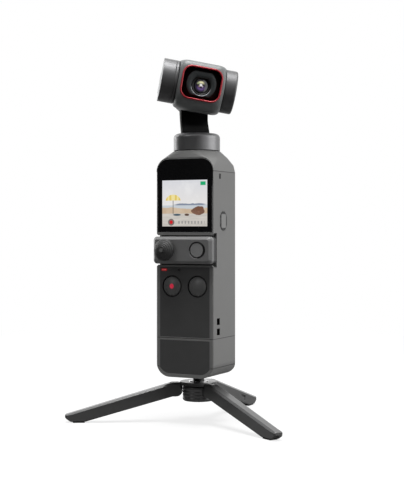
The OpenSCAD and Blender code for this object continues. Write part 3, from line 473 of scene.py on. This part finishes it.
def brick(low, high):
    """Points and faces of a box between two corners."""
    return loft([[(low[0], low[1], z), (high[0], low[1], z), (high[0], high[1], z), (low[0], high[1], z)]
                 for z in (low[2], high[2])])


def rounded_loop(width, height, corner, steps=12):
    """Points (x, z) round a rectangle with round corners."""
    loop = []
    for k, (sx, sz) in enumerate(((1, 1), (-1, 1), (-1, -1), (1, -1))):
        for i in range(steps + 1):
            a = math.pi / 2 * (k + i / steps)
            loop.append((sx * (width / 2 - corner) + corner * math.cos(a),
                         sz * (height / 2 - corner) + corner * math.sin(a)))
    return loop


def clipped_loop(radius, top, bottom, drop=0.0, steps=144):
    """Points (x, z) round a circle whose top and bottom are cut flat."""
    return [(radius * math.cos(a), max(-bottom, min(top, radius * math.sin(a))) - drop) for a in turn(steps)]


def block_rings(loops):
    """Rings in the head's frame round the block's middle, from pairs of a loop and its y."""
    return [[(BLOCK_MIDDLE + a, y, b) for a, b in loop] for loop, y in loops]


# The photograph's camera and a plain white studio

def make_camera():
    data = bpy.data.cameras.new("photo_camera")
    data.sensor_width = SENSOR
    data.lens = FOCAL_PIXELS * SENSOR / IMAGE_HEIGHT
    data.shift_y = (HORIZON_ROW - IMAGE_HEIGHT / 2) / IMAGE_HEIGHT
    data.clip_start, data.clip_end = 0.01, 20
    camera = bpy.data.objects.new("photo_camera", data)
    right = Vector((math.cos(AZIMUTH), math.sin(AZIMUTH), 0))
    ahead = Vector((-math.sin(AZIMUTH), math.cos(AZIMUTH), 0))
    camera.location = (right * CAMERA_SIDE - ahead * CAMERA_DISTANCE + UP * CAMERA_HEIGHT) * MM
    camera.rotation_euler = (math.pi / 2, 0, AZIMUTH)
    bpy.context.scene.collection.objects.link(camera)
    bpy.context.scene.camera = camera


def make_world():
    """White to the camera and in reflections, and a softer white as light on the object."""
    ambient = 0.2
    world = bpy.data.worlds.new("studio")
    bpy.context.scene.world = world
    world.use_nodes = True
    tree = world.node_tree
    path = tree.nodes.new("ShaderNodeLightPath")
    seen = path.outputs["Is Camera Ray"]
    for ray in ("Is Glossy Ray", "Is Transmission Ray"):
        either = tree.nodes.new("ShaderNodeMath")
        either.operation = "MAXIMUM"
        tree.links.new(seen, either.inputs[0])
        tree.links.new(path.outputs[ray], either.inputs[1])
        seen = either.outputs[0]
    strength = tree.nodes.new("ShaderNodeMapRange")
    strength.inputs["To Min"].default_value = ambient
    tree.links.new(seen, strength.inputs["Value"])
    background = tree.nodes["Background"]
    background.inputs["Color"].default_value = (1, 1, 1, 1)
    tree.links.new(strength.outputs["Result"], background.inputs["Strength"])


def stage_sheet(name, points, faces, finish):
    """A bare sheet in the studio, drawn in metres, which isn't part of the object."""
    mesh = bpy.data.meshes.new(name)
    mesh.from_pydata(points, [], faces)
    mesh.materials.append(finish.material)
    sheet = bpy.data.objects.new(name, mesh)
    bpy.context.scene.collection.objects.link(sheet)
    return sheet


def make_floor():
    """A pale floor that keeps the object's shadow near it and is plain white further out."""
    half = 2.0
    near, far = 120, 420
    albedo, lift = 0.16, 0.76
    f = Finish("pale_floor", roughness=0.9, specular=0.0, glow=(1, 1, 1, 1))
    path = f.tree.nodes.new("ShaderNodeLightPath")
    out = f.spread(f.vector("LENGTH", f.point), 0.0, 1.0, near, far)
    f.set("colour", f.mix(out, (albedo, albedo, albedo, 1), (0, 0, 0, 1)))
    mirrored = f.math("MULTIPLY", path.outputs["Is Glossy Ray"], out)
    seen = f.math("MAXIMUM", path.outputs["Is Camera Ray"], mirrored)
    f.set("glow_strength", f.math("MULTIPLY", seen, f.spread(out, lift, 1.0, 0, 1)))
    corners = ((-half, -half, 0), (half, -half, 0), (half, half, 0), (-half, half, 0))
    stage_sheet("studio_floor", corners, [(0, 1, 2, 3)], f)


def make_flag():
    """A dark card in front, which only reflections show, so that gloss facing the front reads as black."""
    steps, first, sweep = 24, -100, 150
    near, far = 0.06, 1.6
    foot, head, lift = -0.4, 1.6, 0.0008
    rim = [math.radians(first + sweep * i / steps) for i in range(steps + 1)]
    wall = [(far * math.sin(a), -far * math.cos(a), z) for a in rim for z in (foot, head)]
    ground = [(reach * math.sin(a), -reach * math.cos(a), lift) for a in rim for reach in (near, far)]
    faces = [tuple(start + k for k in (2 * i, 2 * i + 2, 2 * i + 3, 2 * i + 1))
             for start in (0, len(wall)) for i in range(steps)]
    f = Finish("dark_felt", colour=(0.01, 0.01, 0.01, 1), roughness=1.0, specular=0.0)
    card = stage_sheet("dark_card", wall + ground, faces, f)
    card.visible_camera = False
    card.visible_diffuse = False
    card.visible_shadow = False


def make_lamp(name, place, size, power):
    """A soft lamp that faces the object's middle: metres and watts."""
    middle = Vector((0, 0, 0.09))
    data = bpy.data.lights.new(name, "AREA")
    data.shape = "RECTANGLE"
    data.size, data.size_y = size
    data.energy = power
    lamp = bpy.data.objects.new(name, data)
    lamp.location = place
    lamp.rotation_euler = (middle - Vector(place)).to_track_quat("-Z", "Y").to_euler()
    bpy.context.scene.collection.objects.link(lamp)


def make_studio():
    bpy.context.scene.view_settings.view_transform = "Standard"
    make_camera()
    make_world()
    make_floor()
    make_flag()
    make_lamp("right_window", place=(1.0, 0.35, 0.35), size=(0.9, 0.9), power=9.0)
    make_lamp("left_window", place=(-1.0, 0.3, 0.4), size=(0.5, 0.9), power=5.0)
    make_lamp("overhead", place=(0.05, -0.1, 1.1), size=(0.6, 0.6), power=20.0)
    make_lamp("front_fill", place=(-0.5, -1.0, 0.9), size=(0.5, 0.5), power=2.4)


# Finishes of the handle

def housing():
    """Satin plastic with dark seams, and painted shade in the microphone slit, the eyelet and the accessory
    slot.
    """
    f = moulded("housing_plastic", srgb(112, 112, 111), roughness=0.5, specular=0.35)
    x, y, z = f.along(RIGHT), f.along(BACK), f.along(UP)
    for seam in (SHOULDER_SEAM, BASE_SEAM, CAP_SEAM):
        f.paint(f.inside(z, seam - SEAM_HALF, seam + SEAM_HALF, soft=0.04), srgb(38))
    # Painted shade: the microphone slit drawn black on the surface
    f.paint(f.patch(y, z, MIC_SLIT), srgb(4))
    # Painted shade deep in the eyelet's recess
    deep = f.below(x, SIDE_X - EYELET_RIM, soft=0.1)
    f.paint(f.all_of(f.patch(y, z, EYELET), deep, f.step(x, EYELET_FLOOR, soft=1)), srgb(8))
    # Painted shade in the accessory slot behind the stick unit
    low, high = box_mm("stick_housing")
    front, back = SLOT_DEPTHS
    end = SIDE_X - SLOT_SHORT
    slot = f.all_of(f.inside(z, low.z - SLOT_OVER, high.z + SLOT_OVER, soft=0.02),
                    f.inside(y, FRONT_Y + front, FRONT_Y + back, soft=0.1), f.inside(x, -end, end, soft=0.1))
    return f.paint(slot, srgb(8))


def power_key():
    """The handle's plastic with a dark outline, painted shade of the gap round the key, since the real gap is
    thin.
    """
    f = moulded("power_plastic", srgb(124, 124, 123), roughness=0.5, specular=0.35)
    middle = middle_of("power_button")
    # Painted shade: a dark outline standing in for the shaded gap round the key
    line = f.outline(f.along(BACK), f.along(UP), (middle.y, middle.z), size=(4.9, 6.3), corner=1.0, width=0.9)
    return f.paint(line, srgb(6))


def under_line(f, v, wave, height, lift, soft):
    """1 under a wavy line at a height, which the pattern wave lifts."""
    line = f.math("MULTIPLY_ADD", wave, lift, height)
    return f.step(f.math("SUBTRACT", line, v), 0.0, soft)


def seaside(f, u, v):
    """A made-up beach with status marks, for the lit screen: u and v run from 0 to 1."""
    # Middle and half sizes of each thing
    far_land = (0.62, 0.46), (0.34, 0.06)
    boulder = (0.80, 0.33), (0.15, 0.085)
    crest = (0.83, 0.38), (0.09, 0.055)
    pebble = (0.55, 0.25), (0.05, 0.025)
    canopy = (0.243, 0.54), (0.17, 0.15)
    shade = (0.33, 0.25), (0.085, 0.022)
    record_ring = (0.2, 0.09), (0.07, 0.075)
    record_dot = (0.2, 0.09), (0.036, 0.04)
    horizon, canopy_hem = 0.455, 0.56

    cloud = f.noise(3.2, detail=4)
    sky = f.mix(f.spread(v, 0, 1, 0.35, 1), srgb(234, 231, 228), srgb(218, 219, 224))
    hills = f.all_of(under_line(f, v, f.noise(2.4), height=0.47, lift=0.05, soft=0.01),
                     f.blot(u, v, *far_land, soft=0.3))
    sand = f.mix(cloud, srgb(186, 158, 128), srgb(222, 205, 182))
    shallows = f.mix(f.noise(1.4, stretch=(3, 1, 0.35), detail=4), srgb(176, 172, 166), srgb(226, 221, 213))
    rock = f.mix(f.noise(1.1, detail=4), srgb(86, 60, 48), srgb(150, 112, 92))
    parasol = f.all_of(f.blot(u, v, *canopy, soft=0.03), f.step(v, canopy_hem, soft=0.01))
    ribs = f.waves(f.away(u, v, (0.243, 0.7), (1, 6)), rate=75, edge=0, soft=0.5)
    cloth = f.mix(ribs, srgb(226, 200, 104), srgb(240, 226, 160))
    pole = f.all_of(f.inside(u, 0.236, 0.25, soft=0.006), f.inside(v, 0.27, 0.60, soft=0.01))
    battery = f.patch(u, v, ((0.85, 0.965), (0.885, 0.965)), soft=0.012)
    ticks = f.all_of(f.waves(u, rate=88, edge=0.2, soft=0.4),
                     f.patch(u, v, ((0.34, 0.94), (0.055, 0.115)), soft=0.01))
    return f.layers(sky, (
        (f.spread(cloud, 0, 0.5, 0.45, 0.7), srgb(240)),
        (hills, srgb(132, 142, 160)),
        (f.below(v, horizon, soft=0.012), srgb(200, 207, 213)),
        (under_line(f, v, f.noise(4.5, detail=3), height=0.33, lift=0.12, soft=0.015), sand),
        (under_line(f, v, f.noise(3.0, stretch=(4, 1, 0.3)), height=0.25, lift=0.05, soft=0.012), shallows),
        (f.blot(u, v, *boulder, soft=0.12, wobble=0.6), rock),
        (f.blot(u, v, *pebble, soft=0.15, wobble=0.6), srgb(96, 76, 66)),
        (f.blot(u, v, *crest, soft=0.15, wobble=0.7), srgb(120, 84, 66)),
        (pole, srgb(90, 84, 78)),
        (parasol, cloth),
        (f.blot(u, v, *shade, soft=0.2), srgb(72, 92, 104)),
        (battery, srgb(34, 170, 112)),
        (f.math("MULTIPLY", ticks, 0.6), srgb(110, 112, 116)),
        (f.blot(u, v, *record_ring, soft=0.1), srgb(120, 110, 106)),
        (f.blot(u, v, *record_dot, soft=0.2), srgb(206, 30, 38))))


def screen():
    """Black gloss glass with a pale rim, and the lit screen behind it."""
    f = Finish("front_glass", colour=srgb(20, 20, 21), roughness=0.05, specular=0.4, coat=0.3,
               coat_roughness=0.02)
    skin, glow = 0.4, 0.97
    low, high = box_mm("display_panel")
    u = f.math("DIVIDE", f.along(RIGHT, low), high.x - low.x)
    v = f.math("DIVIDE", f.along(UP, low), high.z - low.z)
    front_only = f.below(f.along(BACK), FRONT_Y + skin, soft=0.1)
    lit = f.all_of(f.patch(u, v, ((0, 1), (0, 1)), soft=0.004), front_only)
    low, high = box_mm("screen_glass")
    rim = f.invert(f.inside(f.along(RIGHT), low.x + GLASS_RIM, high.x - GLASS_RIM, soft=0.05))
    f.paint(f.all_of(rim, f.below(f.along(UP), SHOULDER_SEAM - RIM_FADE_DOWN, RIM_FADE)), srgb(104))
    f.set("glow", seaside(f, u, v))
    return f.set("glow_strength", f.math("MULTIPLY", lit, glow))


def fascia_plastic():
    """Fine-grained dark plastic, with painted shade in a ring round its buttons, and a pale rim at the sides.
    """
    f = moulded("fascia_plastic", srgb(68), roughness=0.6, grain=0.22, depth=0.008, specular=0.25)
    gap = 4.25
    # Painted shade of the gap round each front button
    for name in ("record_button", "function_button"):
        f.paint(f.front_dot(middle_of(name), (gap, gap), soft=0.03), srgb(20))
    low, high = box_mm("fascia_panel")
    rim = f.invert(f.inside(f.along(RIGHT), low.x + PANEL_RIM, high.x - PANEL_RIM, soft=0.05))
    return f.paint(rim, srgb(108))


def front_key(name, node):
    """A front button's plastic, shaded as the dome that the button is."""
    radius, crown = 3.75, 1.3
    grain, grain_share = 0.16, 0.004
    f = moulded(name, srgb(94), roughness=0.42, specular=0.4)
    dome = f.invert(f.math("POWER", f.front_away(middle_of(node), (radius, radius)), 2.0))
    return f.bump(f.math("MULTIPLY_ADD", f.noise(grain), grain_share, dome), crown)


def record_key():
    """A front button with a red dot, which also glows a little as painted light."""
    f = front_key("record_plastic", "record_button")
    red, glow = srgb(222, 48, 74), 0.35
    dot = f.front_dot(middle_of("record_button"), (0.88, 0.98), soft=0.2)
    f.paint(dot, red)
    # Painted light: the red dot glows, though it is no lamp
    f.set("glow", red)
    return f.set("glow_strength", f.math("MULTIPLY", dot, glow))


def status_lamp():
    """Dark red window with three pale dots."""
    f = Finish("status_red", colour=srgb(128, 20, 24), roughness=0.3, specular=0.4, glow=srgb(150, 26, 30))
    pitch, radius = 0.62, 0.24
    for i in (-1, 0, 1):
        dot = f.front_dot(middle_of("status_light") + i * pitch * RIGHT, (radius, radius), soft=0.3)
        f.paint(dot, srgb(236, 150, 150))
    return f.set("glow_strength", 0.5)


def stick_plastic():
    """Satin plastic, with painted shade round the button, set off to its right, and where it sinks into the
    slot.
    """
    f = moulded("stick_plastic", srgb(106), roughness=0.46, grain=0.2, depth=0.006, specular=0.4)
    gap, shade_shift, sunk = (3.4, 3.2), 0.4, 0.45
    # Painted shade: a dark disc a little right of the button, for the shaded gap at its right side
    f.paint(f.front_dot(middle_of("stick_button") + shade_shift * RIGHT, gap, soft=0.04), srgb(10))
    # Painted shade on the part of the stick unit that sinks into the slot
    return f.paint(f.step(f.along(BACK), FRONT_Y - sunk, soft=0.3), srgb(12))


def ridged_rubber():
    """Rubber with fine rings round the joystick's axis, and its nub painted lighter as a painted highlight.
    """
    f = moulded("joystick_rubber", srgb(56), roughness=0.55, grain=0.16, depth=0.006, specular=0.35)
    pitch, depth, flat, nub = 0.62, 0.05, 1.0, 0.75
    r = f.front_away(joint_point("joystick_tilt") / MM)
    rings = f.math("SINE", f.math("MULTIPLY", r, 2 * math.pi / pitch))
    f.bump(f.math("MULTIPLY", rings, f.step(r, flat, soft=0.2)), depth)
    # Painted highlight: the nub drawn paler
    return f.paint(f.below(r, nub, soft=0.3), srgb(96))


# Finishes of the head

def lens_plane(f):
    """Distances across and up from the lens's centre."""
    return f.along(HEAD_X, LENS_CENTRE), f.along(HEAD_Z, LENS_CENTRE)


def drum_metal():
    """Turned dark metal, painted pale on the drum's outer face."""
    f = turned("drum_metal", srgb(84, 84, 85), HEAD_X, roughness=0.44, specular=0.55, metallic=0.45)
    sunk, rim = 0.1, 0.3
    outer = f.below(f.along(HEAD_X, HEAD_CENTRE), DRUM_END + sunk, soft=0.06)
    across = f.away(f.along(HEAD_Y, HEAD_CENTRE), f.along(HEAD_Z, HEAD_CENTRE))
    # The drum's outer face painted pale
    return f.paint(f.all_of(outer, f.below(across, DRUM_R - rim, soft=0.2)), srgb(168, 170, 171))


def hood_paint():
    """Dark satin paint, with a painted highlight along the lower edge of the opening."""
    f = moulded("hood_paint", srgb(52, 55, 56), roughness=0.5, specular=0.2)
    within, beyond, top = 0.02, 0.2, -1.2
    u, v = lens_plane(f)
    # Painted highlight on the rim of the opening, fading out towards the top
    edge = f.inside(f.away(u, v), IRIS_R - within, IRIS_R + beyond, soft=0.08)
    return f.paint(f.all_of(edge, f.below(v, top, soft=1.6)), srgb(182, 184, 190))


def lens_coating_reflections():
    """Coated glass with painted reflections that glow: a violet lower arc, a warm upper arc, a green patch,
    and pale spots and a dark spot in the middle.
    """
    f = Finish("lens_coating_reflections", colour=srgb(12, 11, 14), roughness=0.06, specular=0.6, coat=1.0,
               coat_roughness=0.03)
    u, v = lens_plane(f)
    r = f.away(u, v)
    f.set("glow_strength", 0.9)
    depth = f.mix(f.inside(r, -1, 2.6, soft=0.3), srgb(0), srgb(15, 15, 18))
    rim = f.inside(r, 2.05, 2.35, soft=0.2)
    # Painted reflections, which glow: the violet and warm arcs, the green patch and the spots below
    violet = f.all_of(f.inside(r, 0.5, 1.75, soft=0.7), f.below(v, -0.5, soft=1.6))
    warm = f.all_of(f.inside(r, 0.95, 1.8, soft=0.5), f.step(v, 0.75, soft=0.9), f.below(u, 0.9, soft=1.0))
    green = f.blot(u, v, (-1.1, 0.95), (0.5, 0.4), soft=0.9)
    coats = [(rim, srgb(46, 44, 54)), (violet, srgb(108, 86, 136)), (warm, srgb(236, 230, 186)),
             (f.math("MULTIPLY", green, 0.6), srgb(120, 150, 110))]
    spots = (((-0.1, 0.3), 0.5, srgb(248)), ((0.55, -0.15), 0.3, srgb(196, 182, 196)),
             ((-0.65, -0.2), 0.28, srgb(176, 152, 120)), ((0.05, -0.55), 0.34, srgb(16)))
    coats += [(f.blot(u, v, centre, (radius, radius), soft=0.8), tone) for centre, radius, tone in spots]
    return f.set("glow", f.layers(depth, coats))


# The head's own pieces

def corner_reach(angle):
    """Distance to the block's skin in the middle plane, at an angle from the back through the top."""
    y, z = math.cos(angle), math.sin(angle)
    across, tall = (BACK_Y if y >= 0 else -FACE_Y), (BLOCK_TOP if z > 0 else BLOCK_BELLY)
    # How square each corner is: front or not, top or not
    power = {(True, True): 5.0, (True, False): 3.6, (False, True): 3.0, (False, False): 2.3}[(y < 0, z > 0)]
    return ((abs(y) / across) ** power + (abs(z) / tall) ** power) ** (-1 / power)


def block_skin(steps=120, slices=40):
    """Points and faces from the round left end through the squarer middle to the round right end."""
    over = 0.05
    flat_share, end_power = 0.62, 2.2
    half = (BLOCK_RIGHT - BLOCK_LEFT) / 2
    rings = []
    for i in range(slices + 1):
        x = -half * math.cos(math.pi * i / slices)
        past = max(0, abs(x) / half - flat_share) / (1 - flat_share)
        fullness = (1 - min(past, 1) ** end_power) ** (1 / end_power)
        ring = []
        for angle in turn(steps):
            reach = DRUM_R + over + (corner_reach(angle) - DRUM_R) * fullness
            ring.append((BLOCK_MIDDLE + x, reach * math.cos(angle), reach * math.sin(angle)))
        rings.append(ring)
    return loft(rings)


def make_block(finish):
    """The camera's shell, with the recess that the ring sits in."""
    clear = 2
    block = piece("camera_shell", block_skin(), "tilt", finish, HEAD,
                  ("camera_front", "camera_rear"))
    mouth = rounded_loop(RING_W, RING_H, RING_R)
    carve(block, loft(block_rings([(mouth, FACE_Y - clear), (mouth, RING_BACK)])), HEAD)
    soften(block, 0.06, angle=40)


def make_lens(ring, black, hood, glass):
    """The ring, the floor in it, the hood plate on the floor, and the lens in the plate."""
    outer, chamfer, crest, inner = (rounded_loop(RING_W - 2 * i, RING_H - 2 * i, RING_R - i)
                                    for i in (0, RING_EDGE, RING_T - RING_EDGE, RING_T))
    root = RING_BACK + RING_LIFT
    shoulder = RING_FRONT + RING_EDGE
    section = block_rings([(outer, root), (outer, shoulder), (chamfer, RING_FRONT), (crest, RING_FRONT),
                           (inner, shoulder), (inner, root)])
    piece("coloured_ring", band(section), "tilt", ring, HEAD, ("lens_ring",))
    floor = block_rings([(inner, RING_BACK - FLOOR_T), (inner, RING_BACK)])
    piece("bezel_floor", loft(floor), "tilt", black, HEAD, ("lens_bezel",))

    def face(inset):
        return clipped_loop(HOOD_R - inset, HOOD_CUT - inset, HOOD_CUT - inset)

    def iris(grow):
        return clipped_loop(IRIS_R + grow, IRIS_FLAT + grow, IRIS_R + grow, LENS_DROP)

    plate = block_rings([(face(0), RING_BACK - FLOOR_T), (face(0), HOOD_FRONT + HOOD_EDGE),
                         (face(HOOD_EDGE), HOOD_FRONT), (iris(IRIS_FLARE), HOOD_FRONT),
                         (iris(0), HOOD_FRONT + IRIS_DEPTH), (iris(0), RING_BACK - FLOOR_T)])
    piece("lens_hood", band(plate), "tilt", hood, HEAD, ("hood_plate",))
    facing = LENS_PLACE @ Matrix.Rotation(math.pi / 2, 4, "X")
    piece("lens_steps", band(round_rings(LENS_STEPS)), "tilt", black, facing)
    arc = [math.radians(d) for d in range(0, 90, 6)]
    dome = [(DOME_R, 0.0)] + [(DOME_R * math.cos(a), DOME_FOOT + DOME_RISE * math.sin(a)) for a in arc]
    dome.append((DOME_TIP, DOME_FOOT + DOME_RISE))
    piece("front_lens", loft(round_rings(dome)), "tilt", glass, facing, ("lens_glass",))


def make_drum_lip(finish):
    """The drum's inner rim, which closes the gap to the block's round end."""
    end = BLOCK_LEFT - LIP_GAP
    profile = [(DRUM_R - LIP_DEEP, CAD_DRUM_EDGE), (DRUM_R, CAD_DRUM_EDGE), (DRUM_R, end - LIP_EDGE),
               (DRUM_R - LIP_EDGE, end), (DRUM_R - LIP_DEEP, end)]
    rings = [[(x, r * math.cos(a), r * math.sin(a)) for a in turn(steps=128)] for r, x in profile]
    piece("drum_lip", band(rings), "roll", finish, HEAD)


# The tripod's own pieces

def pin_place(name):
    """A leg's frame at its pin."""
    axis, pin = joint_point("tripod_swivel"), joint_point(name)
    heading = math.atan2(pin.y - axis.y, pin.x - axis.x)
    return Matrix.Translation(pin) @ Matrix.Rotation(heading, 4, "Z")


def leg_ring(x, low, high, half):
    """The leg's outline across at x, with its corners cut."""
    top, under = (min(cut, (high - low) / 4) for cut in (LEG_CHAMFER, LEG_EDGE))
    side = [(x, half, low + under), (x, half, high - top), (x, half - top, high)]
    other = [(x, -y, z) for x, y, z in reversed(side)]
    return side + other + [(x, under - half, low), (x, half - under, low)]


def make_leg(name, body, joint_name, replaced, finish, hooked=False):
    """A leg with the fork at its pin, and the hook's slot in its side where it has one."""
    place = pin_place(joint_name)
    rings = [leg_ring(*station, LEG_HALF) for station in KNUCKLE]
    rings += [leg_ring(*station) for station in LEG_STATIONS]
    leg = piece(name, loft(rings), body, finish, place, (replaced,))
    fork = brick((-FORK_REACH, -FORK_W / 2, -FORK_REACH), (FORK_DEPTH, FORK_W / 2, FORK_REACH))
    carve(leg, fork, place)
    if hooked:
        hook = place @ Matrix.Translation(Vector((HOOK_REACH, -LEG_HALF, HOOK_Z)) * MM)
        hook = hook @ Matrix.Rotation(LEG_SLOPE, 4, "Y")
        end = HOOK_L / 2
        carve(leg, brick((-end, -HOOK_DEEP, 0), (end, HOOK_DEEP, HOOK_T)), hook)
        carve(leg, brick((end - HOOK_T, -HOOK_DEEP, -HOOK_T), (end, HOOK_DEEP, HOOK_T / 2)), hook)
    soften(leg, 0.2, segments=3, angle=25)


def make_washer(body, finish):
    """The bright washer round the screw's neck, on the hub."""
    outline = [(WASHER_IN, 0), (WASHER_OUT, 0), (WASHER_OUT, WASHER_T), (WASHER_IN, WASHER_T)]
    top = box_mm("tripod_hub")[1].z
    place = Matrix.Translation(joint_point("tripod_swivel").xy.to_3d() + UP * top * MM)
    piece("hub_washer", band(round_rings(outline)), body, finish, place)


def make_wheel(body, finish):
    """The thumbwheel: a drum with grooves round it."""
    low, high = box_mm("thumbwheel")
    tall = high.z - low.z
    edge = 2 * WHEEL_GROOVE
    outline = [(WHEEL_BORE, 0), (WHEEL_R - edge, 0), (WHEEL_R, edge)]
    bands = int((tall - edge) / WHEEL_BAND)
    for i in range(1, bands):
        z = edge + i * (tall - 2 * edge) / bands
        outline += [(WHEEL_R, z - WHEEL_GROOVE), (WHEEL_R - WHEEL_GROOVE, z), (WHEEL_R, z + WHEEL_GROOVE)]
    outline += [(WHEEL_R, tall - edge), (WHEEL_R - WHEEL_GROOVE, tall), (WHEEL_BORE, tall)]
    middle = middle_of("thumbwheel")
    place = Matrix.Translation(Vector((middle.x, middle.y, low.z)) * MM)
    piece("grooved_wheel", band(round_rings(outline)), body, finish, place, ("thumbwheel",))


make_studio()

HOUSING = housing()
GLASS = screen()
FASCIA = fascia_plastic()
BUTTON = front_key("button_plastic", "function_button")
STICK = stick_plastic()
STICK_CAP = moulded("stick_cap", srgb(124), roughness=0.45, grain=0.3, depth=0.03, specular=0.4)
STICK_TOP = ridged_rubber()
COLLAR = turned("collar_metal", srgb(112, 112, 113), UP, roughness=0.4, specular=0.5, metallic=0.55)
ARM = moulded("arm_black", srgb(12), roughness=0.6, grain=0.3, depth=0.0005, specular=0.03)
DRUM = drum_metal()
SIDE_METAL = turned("side_metal", srgb(80, 80, 81), HEAD_X, roughness=0.44, metallic=0.45)
MOTOR_DARK = turned("motor_metal", srgb(66, 67, 68), HEAD_Y, specular=0.5, metallic=0.6)
HEAD_PALE = turned("cap_metal", srgb(168, 170, 171), HEAD_X, roughness=0.5)
HEAD_BODY = moulded("head_paint", srgb(100, 102, 102), roughness=0.48, metallic=0.15, specular=0.4)
RING = moulded("ring_anodised", srgb(172, 42, 52), roughness=0.28, metallic=0.3, specular=0.6, depth=0.001)
BLACK = moulded("lens_black", srgb(7), roughness=0.45, specular=0.2)
HOOD = hood_paint()
TRIPOD = moulded("tripod_paint", srgb(58), roughness=0.34, grain=0.18, depth=0.0003, specular=0.6, coat=0.6,
                 coat_roughness=0.14)
WHEEL = turned("wheel_metal", srgb(96), UP, roughness=0.3, metallic=0.6)
SCREW = turned("screw_black", srgb(40), UP, roughness=0.2, metallic=0.7)
RUBBER = moulded("foot_rubber", srgb(18), roughness=0.75, specular=0.2)
STEEL = turned("steel", srgb(165, 165, 168), UP, metallic=0.9)
POLISHED = moulded("polished_steel", srgb(235, 235, 236), roughness=0.12, depth=0.0005, metallic=1.0)

dress("main_housing top_shoulder base_housing base_cap", HOUSING, edge=0.16)
dress("power_button", power_key(), edge=0.1)
dress("screen_glass display_panel", GLASS, edge=0.08)
dress("fascia_panel base_panel", FASCIA, edge=0.08)
dress("record_button", record_key(), edge=0.12)
dress("function_button", BUTTON, edge=0.12)
dress("status_light", status_lamp(), edge=0.05)
dress("stick_housing stick_rail", STICK, edge=0.15)
dress("stick_button", STICK_CAP, edge=0.12)
dress("joystick", STICK_TOP, edge=0.05)
dress("pan_collar", COLLAR, edge=0.15)
dress("pan_arm arm_cover", ARM, edge=0.15)
dress("roll_housing roll_cap", MOTOR_DARK, edge=0.15)
dress("roll_arm", DRUM, edge=0.15)
dress("side_cap", SIDE_METAL, edge=0.15)
dress("tilt_cap", HEAD_PALE, edge=0.1)
dress("lens_barrel", BLACK, edge=0.05)
dress("tripod_hub leg_pins", TRIPOD, edge=0.3, segments=3)
dress("clamp_stud", SCREW, edge=0.08)
dress("foot_rear foot_left foot_right", RUBBER, edge=0.1)
dress("usb_socket base_connector thread_insert slot_contacts", STEEL, edge=0.05)

make_block(HEAD_BODY)
make_lens(RING, BLACK, HOOD, lens_coating_reflections())
make_drum_lip(DRUM)
make_leg("rear_leg", "leg_rear", "fold_rear", "leg_rear", TRIPOD, hooked=True)
make_leg("left_leg", "leg_left", "fold_left", "leg_left", TRIPOD)
make_leg("right_leg", "leg_right", "fold_right", "leg_right", TRIPOD)
make_washer("hub", POLISHED)
make_wheel("clamp_screw", WHEEL)
